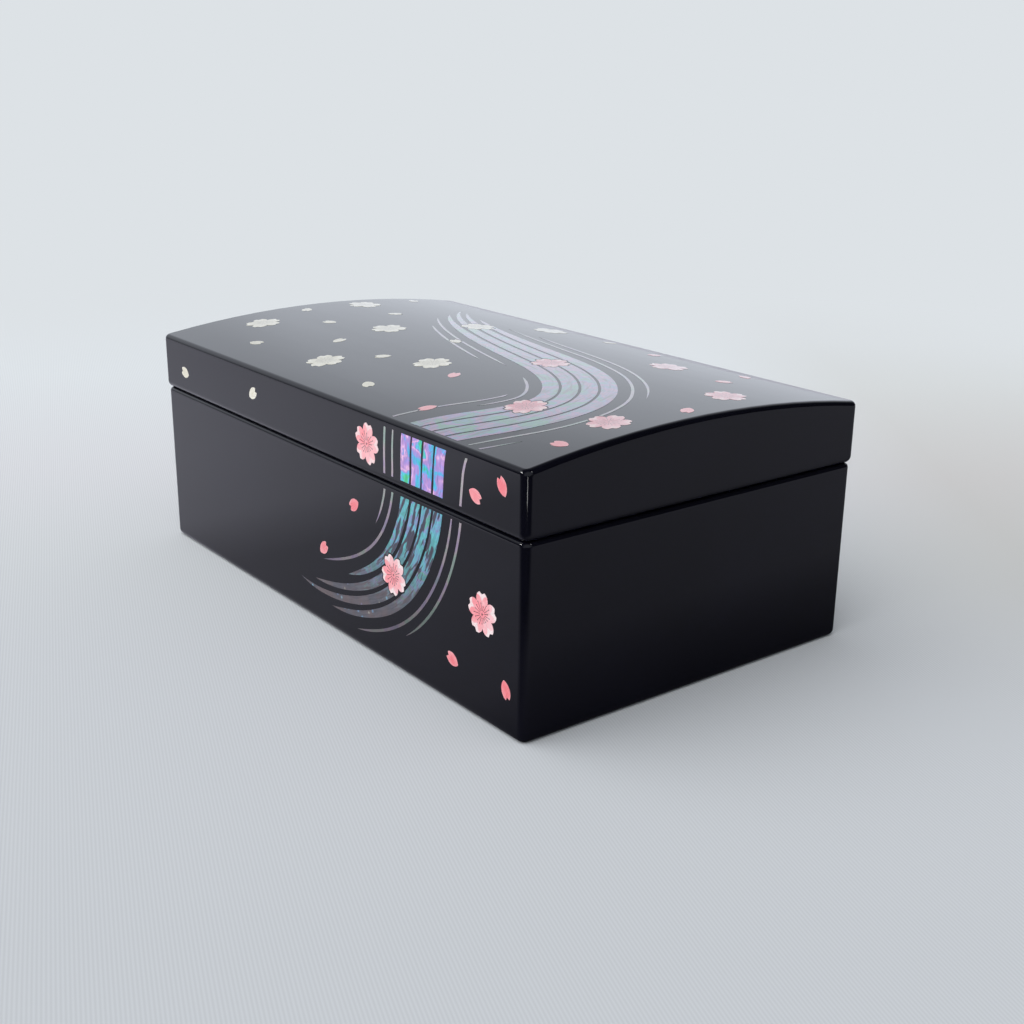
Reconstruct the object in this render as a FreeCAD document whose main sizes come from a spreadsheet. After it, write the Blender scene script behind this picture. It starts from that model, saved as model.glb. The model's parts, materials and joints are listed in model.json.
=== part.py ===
import FreeCAD, Part
import math
import os

import Sketcher
from FreeCAD import Placement, Rotation, Vector

# Driving dimensions in millimetres
SIZES = {
    # box outside, lid on
    "box_length": 200.0,
    "box_depth": 119.4,
    "seam_height": 53.7,
    "lid_side_height": 18.1,
    "lid_rise": 4.9,
    # boards
    "wall": 6.0,
    "top_thickness": 5.0,
    "floor_thickness": 4.0,
    "floor_recess": 0.8,
    "rebate_depth": 2.0,
    # rounded edges
    "corner_radius": 2.3,
    "edge_radius": 2.0,
    "rim_radius": 1.3,
    "lid_foot_radius": 2.2,
    "lid_edge_radius": 1.6,
    # how the lid sits
    "lid_overhang": 0.4,
    "lid_gap": 0.4,
    "lip_thickness": 2.5,
    "lip_height": 5.0,
    "lip_edge_radius": 0.8,
    # hidden keys across the mitres
    "key_thickness": 1.2,
    "key_width": 3.6,
    "key_stop": 3.0,
    # cloth-covered pad on the floor
    "pad_thickness": 2.0,
    "pad_gap": 0.3,
    "pad_edge_radius": 0.8,
    # shell inlay
    "shell_thickness": 0.4,
    "shell_stand": 0.05,
    "shell_margin": 0.6,
    "shell_gap": 0.5,
    "stream_width": 21.0,
    "ribbon_gap": 0.8,
    "ripple_width": 0.9,
    "ripple_gap": 3.3,
    "blossom_radius": 6.0,
    "petal_length": 5.2,
}

SHEET = "Sizes"
MITRE_DEG = 45
# Turns a cylinder's axis along the box, with its seam line underneath
ALONG_X = Rotation(Vector(0, 1, 0), 90)
QUARTER_TURNS = {"front": 0, "right": 90, "back": 180, "left": 270}

# The stream's middle line on the unrolled front and top: along the box as a share of
# half its length, then up the front and over the lid as a share of front plus lid depth.
STREAM_SHARES = (
    (-0.10, 0.066),
    (0.20, 0.080),
    (0.45, 0.155),
    (0.56, 0.275),
    (0.58, 0.372),
    (0.66, 0.470),
    (0.68, 0.570),
    (0.50, 0.675),
    (0.14, 0.735),
    (-0.26, 0.790),
    (-0.66, 0.905),
)
# How wide the stream is at its tails, as a share of its full width.
TAIL_SHARE = 0.34
# Each ribbon's first and last point, as shares of the stream's length.
RIBBON_SPAN_SHARES = ((0.06, 0.93), (0.0, 0.985), (0.03, 1.0), (0.10, 0.955))
# Each ripple: steps out from the stream's edge, and its first and last point.
RIPPLE_SHARES = (
    (1, (0.05, 0.36)),
    (1, (0.41, 0.60)),
    (1, (0.66, 0.93)),
    (2, (0.20, 0.50)),
    (2, (0.70, 0.88)),
    (-1, (0.10, 0.30)),
    (-1, (0.35, 0.86)),
    (-2, (0.17, 0.42)),
    (-2, (0.52, 0.80)),
)
# Arcs along each side of a strip.
RIBBON_ARCS = 20
RIPPLE_ARCS = 6

# Blossoms: place as shares of half the length and half the depth or the full height
# of the face they are on, then the turn in degrees.
BODY_BLOSSOM_SHARES = ((0.83, 0.56, 20), (0.42, 0.52, 50))
LID_FRONT_BLOSSOM_SHARES = ((0.30, 0.50, 8),)
TOP_PINK_BLOSSOM_SHARES = (
    (0.62, -0.50, 15),
    (0.88, -0.40, 40),
    (0.86, 0.34, 5),
    (0.46, 0.62, 60),
    (0.28, 0.10, 30),
)
TOP_CREAM_BLOSSOM_SHARES = (
    (0.06, -0.36, 30),
    (-0.22, -0.70, 10),
    (-0.44, -0.08, 52),
    (-0.82, -0.52, 24),
    (-0.88, 0.22, 64),
    (-0.22, 0.78, 35),
    (-0.33, 0.40, 18),
)
# Single petals: place shares as above, then the turn in degrees.
BODY_PETAL_SHARES = ((0.70, 0.24, 70), (0.93, 0.24, 200), (0.04, 0.46, 310), (0.22, 0.80, 120))
LID_FRONT_PETAL_SHARES = ((0.80, 0.40, 250), (0.91, 0.68, 30))
LID_FRONT_CREAM_PETAL_SHARES = ((-0.36, 0.55, 300), (-0.84, 0.42, 80))
TOP_PINK_PETAL_SHARES = (
    (0.42, -0.80, 160),
    (0.22, -0.42, 35),
    (0.92, -0.72, 100),
    (0.93, -0.02, 215),
    (0.70, 0.60, 330),
    (0.64, 0.86, 60),
    (0.26, 0.84, 190),
)
TOP_CREAM_PETAL_SHARES = (
    (0.10, -0.78, 250),
    (-0.12, -0.46, 140),
    (-0.14, 0.02, 75),
    (-0.40, -0.44, 20),
    (-0.60, -0.76, 290),
    (-0.66, -0.24, 110),
    (-0.90, -0.16, 230),
    (-0.66, 0.20, 330),
    (-0.92, 0.62, 45),
    (0.02, 0.88, 170),
)

# One blossom petal's outline, as shares of the radius and degrees off its middle line.
VALLEY_SHARE, BULGE_SHARE, NOTCH_SHARE = 0.63, 0.86, 0.89
VALLEY_DEG, BULGE_DEG, SHOULDER_DEG = 36.0, 26.0, 10.0
PETALS = 5
# A single petal's outline, as shares of its length: across, then along.
LONE_BULGE_SHARES = (0.34, 0.56)
LONE_SHOULDER_SHARES = (0.16, 1.0)
LONE_NOTCH_SHARE = 0.86
# How near two heights or directions are to count as the same.
TOUCH = 1e-4


class Length:
    """A size with its value now and the sheet formula that drives it."""

    def __init__(self, value, formula):
        self.value = value
        self.formula = formula

    def _join(self, sign, other, value):
        text = other.formula if isinstance(other, Length) else str(other)
        return Length(value, f"({self.formula} {sign} {text})")

    def __add__(self, other):
        return self._join("+", other, self.value + number(other))

    def __sub__(self, other):
        return self._join("-", other, self.value - number(other))

    def __mul__(self, other):
        return self._join("*", other, self.value * number(other))

    def __truediv__(self, other):
        return self._join("/", other, self.value / number(other))

    def __neg__(self):
        return Length(-self.value, f"(-{self.formula})")


def number(item):
    """The plain number of a Length or of a number."""
    return item.value if isinstance(item, Length) else item


def make_sheet(doc):
    """Writes the driving dimensions to the sheet, one named cell each."""
    sheet = doc.addObject("Spreadsheet::Sheet", SHEET)
    for row, (alias, value) in enumerate(SIZES.items(), 1):
        sheet.set(f"A{row}", alias)
        sheet.set(f"B{row}", str(value))
        sheet.setAlias(f"B{row}", alias)
    doc.recompute()
    return sheet


def bind(item, name, length):
    """Drives a property or a named constraint from the sheet."""
    item.setExpression(name, length.formula)


class Box:
    """The sizes that the pieces share, worked out once from the sheet."""

    def __init__(self, sheet):
        for alias in SIZES:
            setattr(self, alias, Length(float(sheet.get(alias)), f"{SHEET}.{alias}"))
        self.half_length = self.box_length / 2
        self.half_depth = self.box_depth / 2
        self.lid_half_length = self.half_length + self.lid_overhang
        self.lid_half_depth = self.half_depth + self.lid_overhang
        self.lid_wall = self.wall + self.lid_overhang - self.lid_gap
        self.side_top = self.seam_height + self.lid_side_height
        self.lip_half_length = self.half_length - self.wall
        self.lip_half_depth = self.half_depth - self.wall
        self.floor_top = self.floor_recess + self.floor_thickness
        self.lip_tall = self.seam_height + self.lip_height - self.floor_top
        chord_square = self.lid_half_depth * self.lid_half_depth
        rise_square = self.lid_rise * self.lid_rise
        self.dome_radius = (chord_square + rise_square) / (self.lid_rise * 2)
        self.dome_centre = self.side_top + self.lid_rise - self.dome_radius


# Sketches


def new_sketch(body, name, role):
    """A sketch on one of the body's own origin planes."""
    sketch = body.newObject("Sketcher::SketchObject", name)
    plane = next(f for f in body.Origin.OriginFeatures if f.Role == role)
    sketch.AttachmentSupport = [(plane, "")]
    sketch.MapMode = "FlatFace"
    return sketch


def line(x0, y0, x1, y1):
    """A sketch line between two points."""
    return Part.LineSegment(Vector(x0, y0, 0), Vector(x1, y1, 0))


def arc(x, y, radius, start, end):
    """A sketch arc round (x, y), its angles in degrees."""
    circle = Part.Circle(Vector(x, y, 0), Vector(0, 0, 1), radius)
    return Part.ArcOfCircle(circle, math.radians(start), math.radians(end))


def datum(sketch, name, kind, geometry, length):
    """A named size in a sketch, driven from the sheet."""
    index = sketch.addConstraint(Sketcher.Constraint(kind, *geometry, length.value))
    sketch.renameConstraint(index, name)
    bind(sketch, f"Constraints.{name}", length)


def join(sketch, *links):
    """Constraints with no size, each given as its kind and its geometry."""
    for link in links:
        sketch.addConstraint(Sketcher.Constraint(*link))


def rounded_mitre_plan(body, half_span, half_reach, thick, corner):
    """Plan of a wall board: outer face, corners rounded up to the mitres, inner face."""
    sketch = new_sketch(body, "plan", "XY_Plane")
    centre, inner = half_span - corner, half_span - thick
    x, y, r = centre.value, -half_reach.value, corner.value
    ix, iy = inner.value, thick.value - half_reach.value
    tip = r * math.cos(math.radians(MITRE_DEG))
    sketch.addGeometry([
        line(-x, y, x, y),
        arc(x, y + r, r, 270, 315),
        line(x + tip, y + r - tip, ix, iy),
        line(ix, iy, -ix, iy),
        line(-ix, iy, -x - tip, y + r - tip),
        arc(-x, y + r, r, 225, 270),
    ])
    join(
        sketch,
        ("Tangent", 0, 2, 1, 1),
        ("Coincident", 1, 2, 2, 1),
        ("Coincident", 2, 2, 3, 1),
        ("Coincident", 3, 2, 4, 1),
        ("Coincident", 4, 2, 5, 1),
        ("Tangent", 5, 2, 0, 1),
        ("Horizontal", 0),
        ("Equal", 1, 5),
        ("PointOnObject", 1, 3, 2),
        ("PointOnObject", 5, 3, 4),
        ("Symmetric", 3, 1, 3, 2, -2),
    )
    datum(sketch, "corner", "Radius", (1,), corner)
    datum(sketch, "right_centre", "DistanceX", (-1, 1, 1, 3), centre)
    datum(sketch, "left_centre", "DistanceX", (5, 3, -1, 1), centre)
    datum(sketch, "inner_end", "DistanceX", (-1, 1, 3, 1), inner)
    datum(sketch, "outer_face", "DistanceY", (0, 1, -1, 1), half_reach)
    datum(sketch, "inner_face", "DistanceY", (3, 1, -1, 1), half_reach - thick)
    return sketch


def sharp_mitre_plan(body, half_span, half_reach, thick):
    """Plan of a lip strip: a plain trapezium between two mitres."""
    sketch = new_sketch(body, "plan", "XY_Plane")
    x, y = half_span.value, -half_reach.value
    ix, iy = x - thick.value, y + thick.value
    sketch.addGeometry([line(-x, y, x, y), line(x, y, ix, iy), line(ix, iy, -ix, iy), line(-ix, iy, -x, y)])
    join(
        sketch,
        ("Coincident", 0, 2, 1, 1),
        ("Coincident", 1, 2, 2, 1),
        ("Coincident", 2, 2, 3, 1),
        ("Coincident", 3, 2, 0, 1),
        ("Symmetric", 0, 1, 0, 2, -2),
        ("Symmetric", 2, 1, 2, 2, -2),
    )
    datum(sketch, "outer_end", "DistanceX", (-1, 1, 0, 2), half_span)
    datum(sketch, "inner_end", "DistanceX", (-1, 1, 2, 1), half_span - thick)
    datum(sketch, "outer_face", "DistanceY", (0, 1, -1, 1), half_reach)
    datum(sketch, "inner_face", "DistanceY", (2, 1, -1, 1), half_reach - thick)
    return sketch


def rectangle(body, name, half_x, low_y, high_y):
    """A rectangle centred on the Y axis, between two places on the minus Y side."""
    sketch = new_sketch(body, name, "XY_Plane")
    x, y0, y1 = half_x.value, -low_y.value, -high_y.value
    sketch.addGeometry([line(-x, y0, x, y0), line(x, y0, x, y1), line(x, y1, -x, y1), line(-x, y1, -x, y0)])
    join(
        sketch,
        ("Coincident", 0, 2, 1, 1),
        ("Coincident", 1, 2, 2, 1),
        ("Coincident", 2, 2, 3, 1),
        ("Coincident", 3, 2, 0, 1),
        ("Vertical", 1),
        ("Symmetric", 0, 1, 0, 2, -2),
        ("Symmetric", 2, 1, 2, 2, -2),
    )
    datum(sketch, "half_width", "DistanceX", (-1, 1, 0, 2), half_x)
    datum(sketch, "low_side", "DistanceY", (0, 1, -1, 1), low_y)
    datum(sketch, "high_side", "DistanceY", (2, 1, -1, 1), high_y)
    return sketch


# Solid features


def pad(body, sketch, length):
    """Pads a sketch up by a sheet length."""
    feature = body.newObject("PartDesign::Pad", "pad")
    feature.Profile = sketch
    bind(feature, "Length", length)
    body.Document.recompute()
    return feature


def pocket_up(body, sketch, length):
    """Cuts a sketch upwards out of the body, and makes sure that it cut something."""
    before = body.Shape.Volume
    feature = body.newObject("PartDesign::Pocket", "rebate")
    feature.Profile = sketch
    feature.Reversed = True
    bind(feature, "Length", length)
    body.Document.recompute()
    if body.Shape.Volume >= before:
        raise RuntimeError(f"{body.Label}: the rebate cut nothing")
    return feature


def round_edges(body, name, wanted, radius):
    """Rounds the edges of the body's tip that wanted() picks."""
    tip = body.Tip
    names = [f"Edge{i}" for i, edge in enumerate(tip.Shape.Edges, 1) if wanted(edge)]
    if not names:
        raise RuntimeError(f"{body.Label}: no edge found for {name}")
    feature = body.newObject("PartDesign::Fillet", name)
    feature.Base = (tip, names)
    bind(feature, "Radius", radius)
    body.Document.recompute()
    return feature


def outer_edge_at(height, inner_face):
    """Picks the edges at one height that lie wholly outside a board's inner face."""

    def wanted(edge):
        box = edge.BoundBox
        level = abs(box.ZMin - height) < TOUCH and abs(box.ZMax - height) < TOUCH
        return level and is_outside(edge, inner_face)

    return wanted


def is_outside(edge, inner_face):
    """True for the outer line and the corner arcs, and false for mitres and inner lines."""
    if isinstance(edge.Curve, Part.Line):
        direction = edge.Curve.Direction
        return abs(direction.x) > 1 - TOUCH and edge.BoundBox.YMax < -inner_face - TOUCH
    return isinstance(edge.Curve, Part.Circle)


def wall_blank(doc, box, side, name, reach, span, thick, height, radii):
    """A mitred wall board standing on z = 0, turned to its side of the box."""
    body = doc.addObject("PartDesign::Body", f"{name}_blank")
    body.Label = f"{name} blank"
    pad(body, rounded_mitre_plan(body, span, reach, thick, box.corner_radius), height)
    inner_face = (reach - thick).value
    for level, radius in radii:
        round_edges(body, "edge", outer_edge_at(number(level), inner_face), radius)
    body.Placement = Placement(Vector(), Rotation(Vector(0, 0, 1), QUARTER_TURNS[side]))
    return body


def cut(doc, name, base, tool):
    """Base less tool, as one feature."""
    feature = doc.addObject("Part::Cut", name)
    feature.Base = base
    feature.Tool = tool
    return feature


def reach_and_span(side, half_length, half_depth):
    """How far a side's outer face is from the middle, and half its own length."""
    if side in ("front", "back"):
        return half_depth, half_length
    return half_length, half_depth


# Body of the box


def body_wall(doc, box, side, keys):
    """One wall of the body: mitred, rounded, rebated for the floor and grooved for the keys."""
    name = f"body_{side}_board"
    reach, span = reach_and_span(side, box.half_length, box.half_depth)
    radii = ((0, box.edge_radius), (box.seam_height, box.rim_radius))
    body = wall_blank(doc, box, side, name, reach, span, box.wall, box.seam_height, radii)
    inner = reach - box.wall
    sketch = rectangle(body, "rebate_plan", span, inner + box.rebate_depth, inner)
    pocket_up(body, sketch, box.floor_top)
    return cut(doc, name, body, keys)


def floor_board(doc, box):
    """The floor, let into the rebates of the four walls."""
    floor = doc.addObject("Part::Box", "body_floor_board")
    half_x = box.half_length - box.wall + box.rebate_depth
    half_y = box.half_depth - box.wall + box.rebate_depth
    bind(floor, "Length", half_x * 2)
    bind(floor, "Width", half_y * 2)
    bind(floor, "Height", box.floor_thickness)
    bind(floor, ".Placement.Base.x", -half_x)
    bind(floor, ".Placement.Base.y", -half_y)
    bind(floor, ".Placement.Base.z", box.floor_recess)
    return floor


def lip_strip(doc, box, side):
    """One strip of the inner lip, which stands above the seam and keeps the lid in place."""
    name = f"lip_{side}_strip"
    reach, span = reach_and_span(side, box.lip_half_length, box.lip_half_depth)
    body = doc.addObject("PartDesign::Body", name)
    pad(body, sharp_mitre_plan(body, span, reach, box.lip_thickness), box.lip_tall)
    top = box.lip_tall.value

    def top_edge(edge):
        along = isinstance(edge.Curve, Part.Line) and abs(edge.Curve.Direction.x) > 1 - TOUCH
        return along and abs(edge.BoundBox.ZMin - top) < TOUCH

    round_edges(body, "top_edges", top_edge, box.lip_edge_radius)
    body.Placement = Placement(Vector(), Rotation(Vector(0, 0, 1), QUARTER_TURNS[side]))
    bind(body, ".Placement.Base.z", box.floor_top)
    return body


def floor_pad(doc, box):
    """The loose cloth-covered pad that lines the floor, its upper edge softened."""
    body = doc.addObject("PartDesign::Body", "floor_pad")
    half_x = box.lip_half_length - box.lip_thickness - box.pad_gap
    half_y = box.lip_half_depth - box.lip_thickness - box.pad_gap
    pad(body, rectangle(body, "plan", half_x, half_y, -half_y), box.pad_thickness)
    round_edges(body, "corners", is_upright, box.pad_edge_radius)
    top = max(body.Tip.Shape.Faces, key=lambda face: face.CenterOfMass.z)
    round_edges(body, "top_edges", lambda edge: any(edge.isSame(e) for e in top.Edges), box.pad_edge_radius)
    bind(body, ".Placement.Base.z", box.floor_top)
    return body


def mitre_keys(doc, box, name, halves, thick, heights):
    """Four thin keys, one across each mitre, in stopped grooves."""
    keys = []
    low, high = heights
    middle_x, middle_y = (half - thick / 2 for half in halves)
    along, across = box.key_width / 2, box.key_thickness / 2
    cosine = math.cos(math.radians(MITRE_DEG))
    for sign_x, sign_y in ((1, -1), (1, 1), (-1, 1), (-1, -1)):
        key = doc.addObject("Part::Box", f"{name}_key")
        bind(key, "Length", box.key_width)
        bind(key, "Width", box.key_thickness)
        bind(key, "Height", high - low)
        turn = -MITRE_DEG * sign_x * sign_y
        key.Placement = Placement(Vector(), Rotation(Vector(0, 0, 1), turn))
        slant = math.copysign(cosine, turn)
        bind(key, ".Placement.Base.x", middle_x * sign_x - along * cosine + across * slant)
        bind(key, ".Placement.Base.y", middle_y * sign_y - along * slant - across * cosine)
        bind(key, ".Placement.Base.z", low)
        keys.append(key)
    group = doc.addObject("Part::Compound", name)
    group.Links = keys
    return group


# Lid


def dome_tool(doc, box, name, radius):
    """A long cylinder on the dome's axis, which trims what lies under the top board."""
    tool = doc.addObject("Part::Cylinder", name)
    length = box.lid_half_length * 4
    bind(tool, "Radius", radius)
    bind(tool, "Height", length)
    tool.Placement = Placement(Vector(), ALONG_X)
    bind(tool, ".Placement.Base.x", -length / 2)
    bind(tool, ".Placement.Base.z", box.dome_centre)
    return tool


def lid_wall(doc, box, side, keys, dome):
    """One wall of the lid, its top trimmed to the curve of the top board."""
    name = f"lid_{side}_board"
    reach, span = reach_and_span(side, box.lid_half_length, box.lid_half_depth)
    height = box.lid_side_height + box.lid_rise
    radii = ((0, box.lid_foot_radius),)
    body = wall_blank(doc, box, side, name, reach, span, box.lid_wall, height, radii)
    bind(body, ".Placement.Base.z", box.seam_height)
    trimmed = doc.addObject("Part::Common", f"{name}_trimmed")
    trimmed.Base = body
    trimmed.Tool = dome
    return cut(doc, name, trimmed, keys)


def top_board_blank(doc, box):
    """The curved top board before its inlay: an arched section padded along the box."""
    body = doc.addObject("PartDesign::Body", "lid_top_blank")
    sketch = new_sketch(body, "section", "YZ_Plane")
    half, outer, low = box.lid_half_depth, box.dome_radius, box.dome_centre
    inner = outer - box.top_thickness
    tilt = math.degrees(math.asin(half.value / outer.value))
    inner_tilt = math.degrees(math.asin(half.value / inner.value))
    top_z = low.value + outer.value * math.cos(math.radians(tilt))
    under_z = low.value + inner.value * math.cos(math.radians(inner_tilt))
    y = half.value
    sketch.addGeometry([
        arc(0, low.value, outer.value, 90 - tilt, 90 + tilt),
        line(-y, top_z, -y, under_z),
        arc(0, low.value, inner.value, 90 - inner_tilt, 90 + inner_tilt),
        line(y, under_z, y, top_z),
    ])
    join(
        sketch,
        ("Coincident", 0, 2, 1, 1),
        ("Coincident", 1, 2, 2, 2),
        ("Coincident", 2, 1, 3, 1),
        ("Coincident", 3, 2, 0, 1),
        ("PointOnObject", 0, 3, -2),
        ("Coincident", 0, 3, 2, 3),
        ("Vertical", 1),
        ("Vertical", 3),
    )
    datum(sketch, "outer_radius", "Radius", (0,), outer)
    datum(sketch, "inner_radius", "Radius", (2,), inner)
    datum(sketch, "centre_drop", "DistanceY", (0, 3, -1, 1), -low)
    datum(sketch, "right_side", "DistanceX", (-1, 1, 3, 1), half)
    datum(sketch, "left_side", "DistanceX", (1, 1, -1, 1), half)
    feature = pad(body, sketch, box.lid_half_length * 2)
    feature.Midplane = True
    doc.recompute()
    round_edges(body, "corners", is_upright, box.corner_radius)
    top = max(body.Tip.Shape.Faces, key=lambda face: face.CenterOfMass.z)
    round_edges(body, "rim", lambda edge: any(edge.isSame(e) for e in top.Edges), box.lid_edge_radius)
    return body


def is_upright(edge):
    """True for a straight edge along Z."""
    return isinstance(edge.Curve, Part.Line) and abs(edge.Curve.Direction.z) > 1 - TOUCH


# Inlay outlines, drawn flat with x along the box and y up the face


def stream_line(box):
    """The stream's middle line on the unrolled front and top."""
    half, run = box.half_length.value, unrolled(box)
    curve = Part.BSplineCurve()
    curve.interpolate([Vector(x * half, v * run, 0) for x, v in STREAM_SHARES])
    return curve


def unrolled(box):
    """How far it is up the front and across the lid."""
    return box.side_top.value + 2 * box.lid_half_depth.value


def strip(curve, offset, reach, span, arcs):
    """A strip of shell beside the stream's middle line, coming to a tip at each end.

    Its reach each side is one length that narrows with the stream, plus one that doesn't.
    """
    first, last = span
    narrowing, steady = reach
    sides = ([], [])
    for i in range(2 * arcs + 1):
        share = i / (2 * arcs)
        t = first + (last - first) * share
        spread = TAIL_SHARE + (1 - TAIL_SHARE) * math.sin(math.pi * t) ** 0.5
        taper = max(0.0, 1 - (2 * share - 1) ** 4) ** 0.5
        u = curve.FirstParameter + t * (curve.LastParameter - curve.FirstParameter)
        along = curve.tangent(u)[0]
        normal = Vector(-along.y, along.x, 0)
        middle = curve.value(u) + normal * offset * spread
        out = normal * (narrowing * spread + steady) * taper
        sides[0].append(middle + out)
        sides[1].append(middle - out)
    sides[1][0], sides[1][-1] = sides[0][0], sides[0][-1]
    edges = [
        Part.Arc(*points[k:k + 3]).toShape()
        for points in (sides[0], sides[1][::-1])
        for k in range(0, 2 * arcs, 2)
    ]
    return Part.Face(Part.Wire(edges))


def ribbons(box, curve):
    """The stream's own ribbons, from its left bank to its right."""
    count = len(RIBBON_SPAN_SHARES)
    gap = box.ribbon_gap.value
    pitch = (box.stream_width.value + gap) / count
    middle = (count - 1) / 2
    return [
        strip(curve, pitch * (i - middle), (pitch / 2, -gap / 2), span, RIBBON_ARCS)
        for i, span in enumerate(RIBBON_SPAN_SHARES)
    ]


def ripples(box, curve):
    """The thin lines that run beside the stream."""
    edge, width = box.stream_width.value / 2, box.ripple_width.value
    pitch = box.ripple_gap.value + width
    return [
        strip(curve, math.copysign(edge, steps) + steps * pitch, (0, width / 2), span, RIPPLE_ARCS)
        for steps, span in RIPPLE_SHARES
    ]


def polar(radius, degrees):
    """A point by its distance and bearing."""
    turn = math.radians(degrees)
    return Vector(radius * math.cos(turn), radius * math.sin(turn), 0)


def blossom(box, extra, x, y, turn):
    """A five-petalled blossom in one piece, each petal notched at its tip."""
    r = box.blossom_radius.value + extra
    edges = []
    for k in range(PETALS):
        middle = turn + 360 * k / PETALS
        valley, next_valley = (polar(VALLEY_SHARE * r, middle + s * VALLEY_DEG) for s in (-1, 1))
        bulge, next_bulge = (polar(BULGE_SHARE * r, middle + s * BULGE_DEG) for s in (-1, 1))
        shoulder, next_shoulder = (polar(r, middle + s * SHOULDER_DEG) for s in (-1, 1))
        notch = polar(NOTCH_SHARE * r, middle)
        edges.append(Part.Arc(valley, bulge, shoulder).toShape())
        edges.append(Part.LineSegment(shoulder, notch).toShape())
        edges.append(Part.LineSegment(notch, next_shoulder).toShape())
        edges.append(Part.Arc(next_shoulder, next_bulge, next_valley).toShape())
    face = Part.Face(Part.Wire(edges))
    face.translate(Vector(x, y, 0))
    return face


def lone_petal(box, extra, x, y, turn):
    """A single petal adrift, pointed at its foot and notched at its tip."""
    size = box.petal_length.value + 2 * extra
    foot, notch = Vector(0, -size / 2, 0), Vector(0, (LONE_NOTCH_SHARE - 0.5) * size, 0)
    bulges, shoulders = (
        [Vector(s * across * size, (along - 0.5) * size, 0) for s in (1, -1)]
        for across, along in (LONE_BULGE_SHARES, LONE_SHOULDER_SHARES)
    )
    edges = [
        Part.Arc(foot, bulges[0], shoulders[0]).toShape(),
        Part.LineSegment(shoulders[0], notch).toShape(),
        Part.LineSegment(notch, shoulders[1]).toShape(),
        Part.Arc(shoulders[1], bulges[1], foot).toShape(),
    ]
    face = Part.Face(Part.Wire(edges))
    face.rotate(Vector(), Vector(0, 0, 1), turn)
    face.translate(Vector(x, y, 0))
    return face


def clear_of(face, taken):
    """An outline less the room that others already take."""
    for other in taken:
        if face.BoundBox.intersect(other.BoundBox):
            face = face.cut(other)
    return face


# Inlay pieces


class Ground:
    """A lacquered face that takes inlay."""

    def local(self, outline):
        """An outline of the unrolled front and top, in this face's own place."""
        return outline

    def decorate(self, doc, prefix, curve, scatters):
        """Lays blossoms and petals first, then the stream clear of them."""
        pieces, taken = [], []
        for name, outline, shares in scatters:
            faces = []
            for share in shares:
                place = self.at(share)
                faces.append(clear_of(outline(self.box, 0, *place), taken))
                taken.append(outline(self.box, self.box.shell_gap.value, *place))
            pieces.append(self.let_in(doc, f"{prefix}_{name}", faces))
        flow = [clear_of(self.local(face), taken) for face in ribbons(self.box, curve)]
        for i, face in enumerate(flow, 1):
            pieces.append(self.let_in(doc, f"{prefix}_stream_ribbon_{i}", [face]))
        lines = [clear_of(self.local(face), taken) for face in ripples(self.box, curve)]
        pieces.append(self.let_in(doc, f"{prefix}_ripples", lines))
        return pieces

    def in_window(self, faces):
        """The outlines' stretches on this face, less any too small to cut from shell."""
        least = self.box.ripple_width.value * self.box.ripple_gap.value
        found = [piece for face in faces for piece in face.common(self.window).Faces]
        return [piece for piece in found if piece.Area > least]


class FlatFace(Ground):
    """A flat stretch of the front, between two rounded edges."""

    def __init__(self, box, half_length, half_depth, heights, radii):
        self.box = box
        self.half_length = half_length.value
        self.low, self.high = (number(height) for height in heights)
        low_radius, high_radius = (radius.value for radius in radii)
        margin = box.shell_margin.value
        x = self.half_length - box.corner_radius.value - margin
        y0, y1 = self.low + low_radius + margin, self.high - high_radius - margin
        self.window = Part.makePlane(2 * x, y1 - y0, Vector(-x, y0, 0))
        self.place = Placement(Vector(0, -half_depth.value, 0), Rotation(Vector(1, 0, 0), 90))

    def at(self, share):
        """A place on this face from its shares, with its turn."""
        x, y, turn = share
        return x * self.half_length, self.low + y * (self.high - self.low), turn

    def let_in(self, doc, name, faces):
        """Gives the outlines the shell's thickness and stands them in the front."""
        depth, stand = self.box.shell_thickness.value, self.box.shell_stand.value
        solids = [piece.extrude(Vector(0, 0, -depth)) for piece in self.in_window(faces)]
        for solid in solids:
            solid.translate(Vector(0, 0, stand))
        return shell_piece(doc, name, solids, self.place)


class DomedFace(Ground):
    """The curved top of the lid, whose inlay is bent to its curve."""

    def __init__(self, box):
        self.box = box
        self.half_length, self.half_depth = box.lid_half_length.value, box.lid_half_depth.value
        inset = box.lid_edge_radius.value + box.shell_margin.value
        x, y = self.half_length - inset, self.half_depth - inset
        self.window = Part.makePlane(2 * x, 2 * y, Vector(-x, -y, 0))
        centre, radius = box.dome_centre.value, box.dome_radius.value + box.shell_stand.value
        outer, inner = (
            Part.makeCylinder(r, 4 * self.half_length) for r in (radius, radius - box.shell_thickness.value)
        )
        self.skin = outer.cut(inner)
        self.skin.Placement = Placement(Vector(-2 * self.half_length, 0, centre), ALONG_X)
        self.top = centre + radius

    def at(self, share):
        """A place on the lid from its shares, with its turn."""
        x, y, turn = share
        return x * self.half_length, y * self.half_depth, turn

    def local(self, outline):
        """Moves an outline from the unrolled front and top to the lid's own middle."""
        moved = outline.copy()
        moved.translate(Vector(0, -self.box.side_top.value - self.half_depth, 0))
        return moved

    def let_in(self, doc, name, faces):
        """Cuts the outlines out of a skin as thick as the shell."""
        tall = self.box.lid_rise.value + self.box.lid_side_height.value
        solids = []
        for piece in self.in_window(faces):
            prism = piece.extrude(Vector(0, 0, tall))
            prism.translate(Vector(0, 0, self.top - tall))
            solids += prism.common(self.skin).Solids
        return shell_piece(doc, name, solids, Placement())


def shell_piece(doc, name, solids, place):
    """A document object for one or more pieces of shell."""
    if not solids:
        raise RuntimeError(f"{name}: no part of the outline is on its face")
    feature = doc.addObject("Part::Feature", name)
    feature.Shape = Part.makeCompound(solids)
    feature.Placement = place
    return feature


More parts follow.
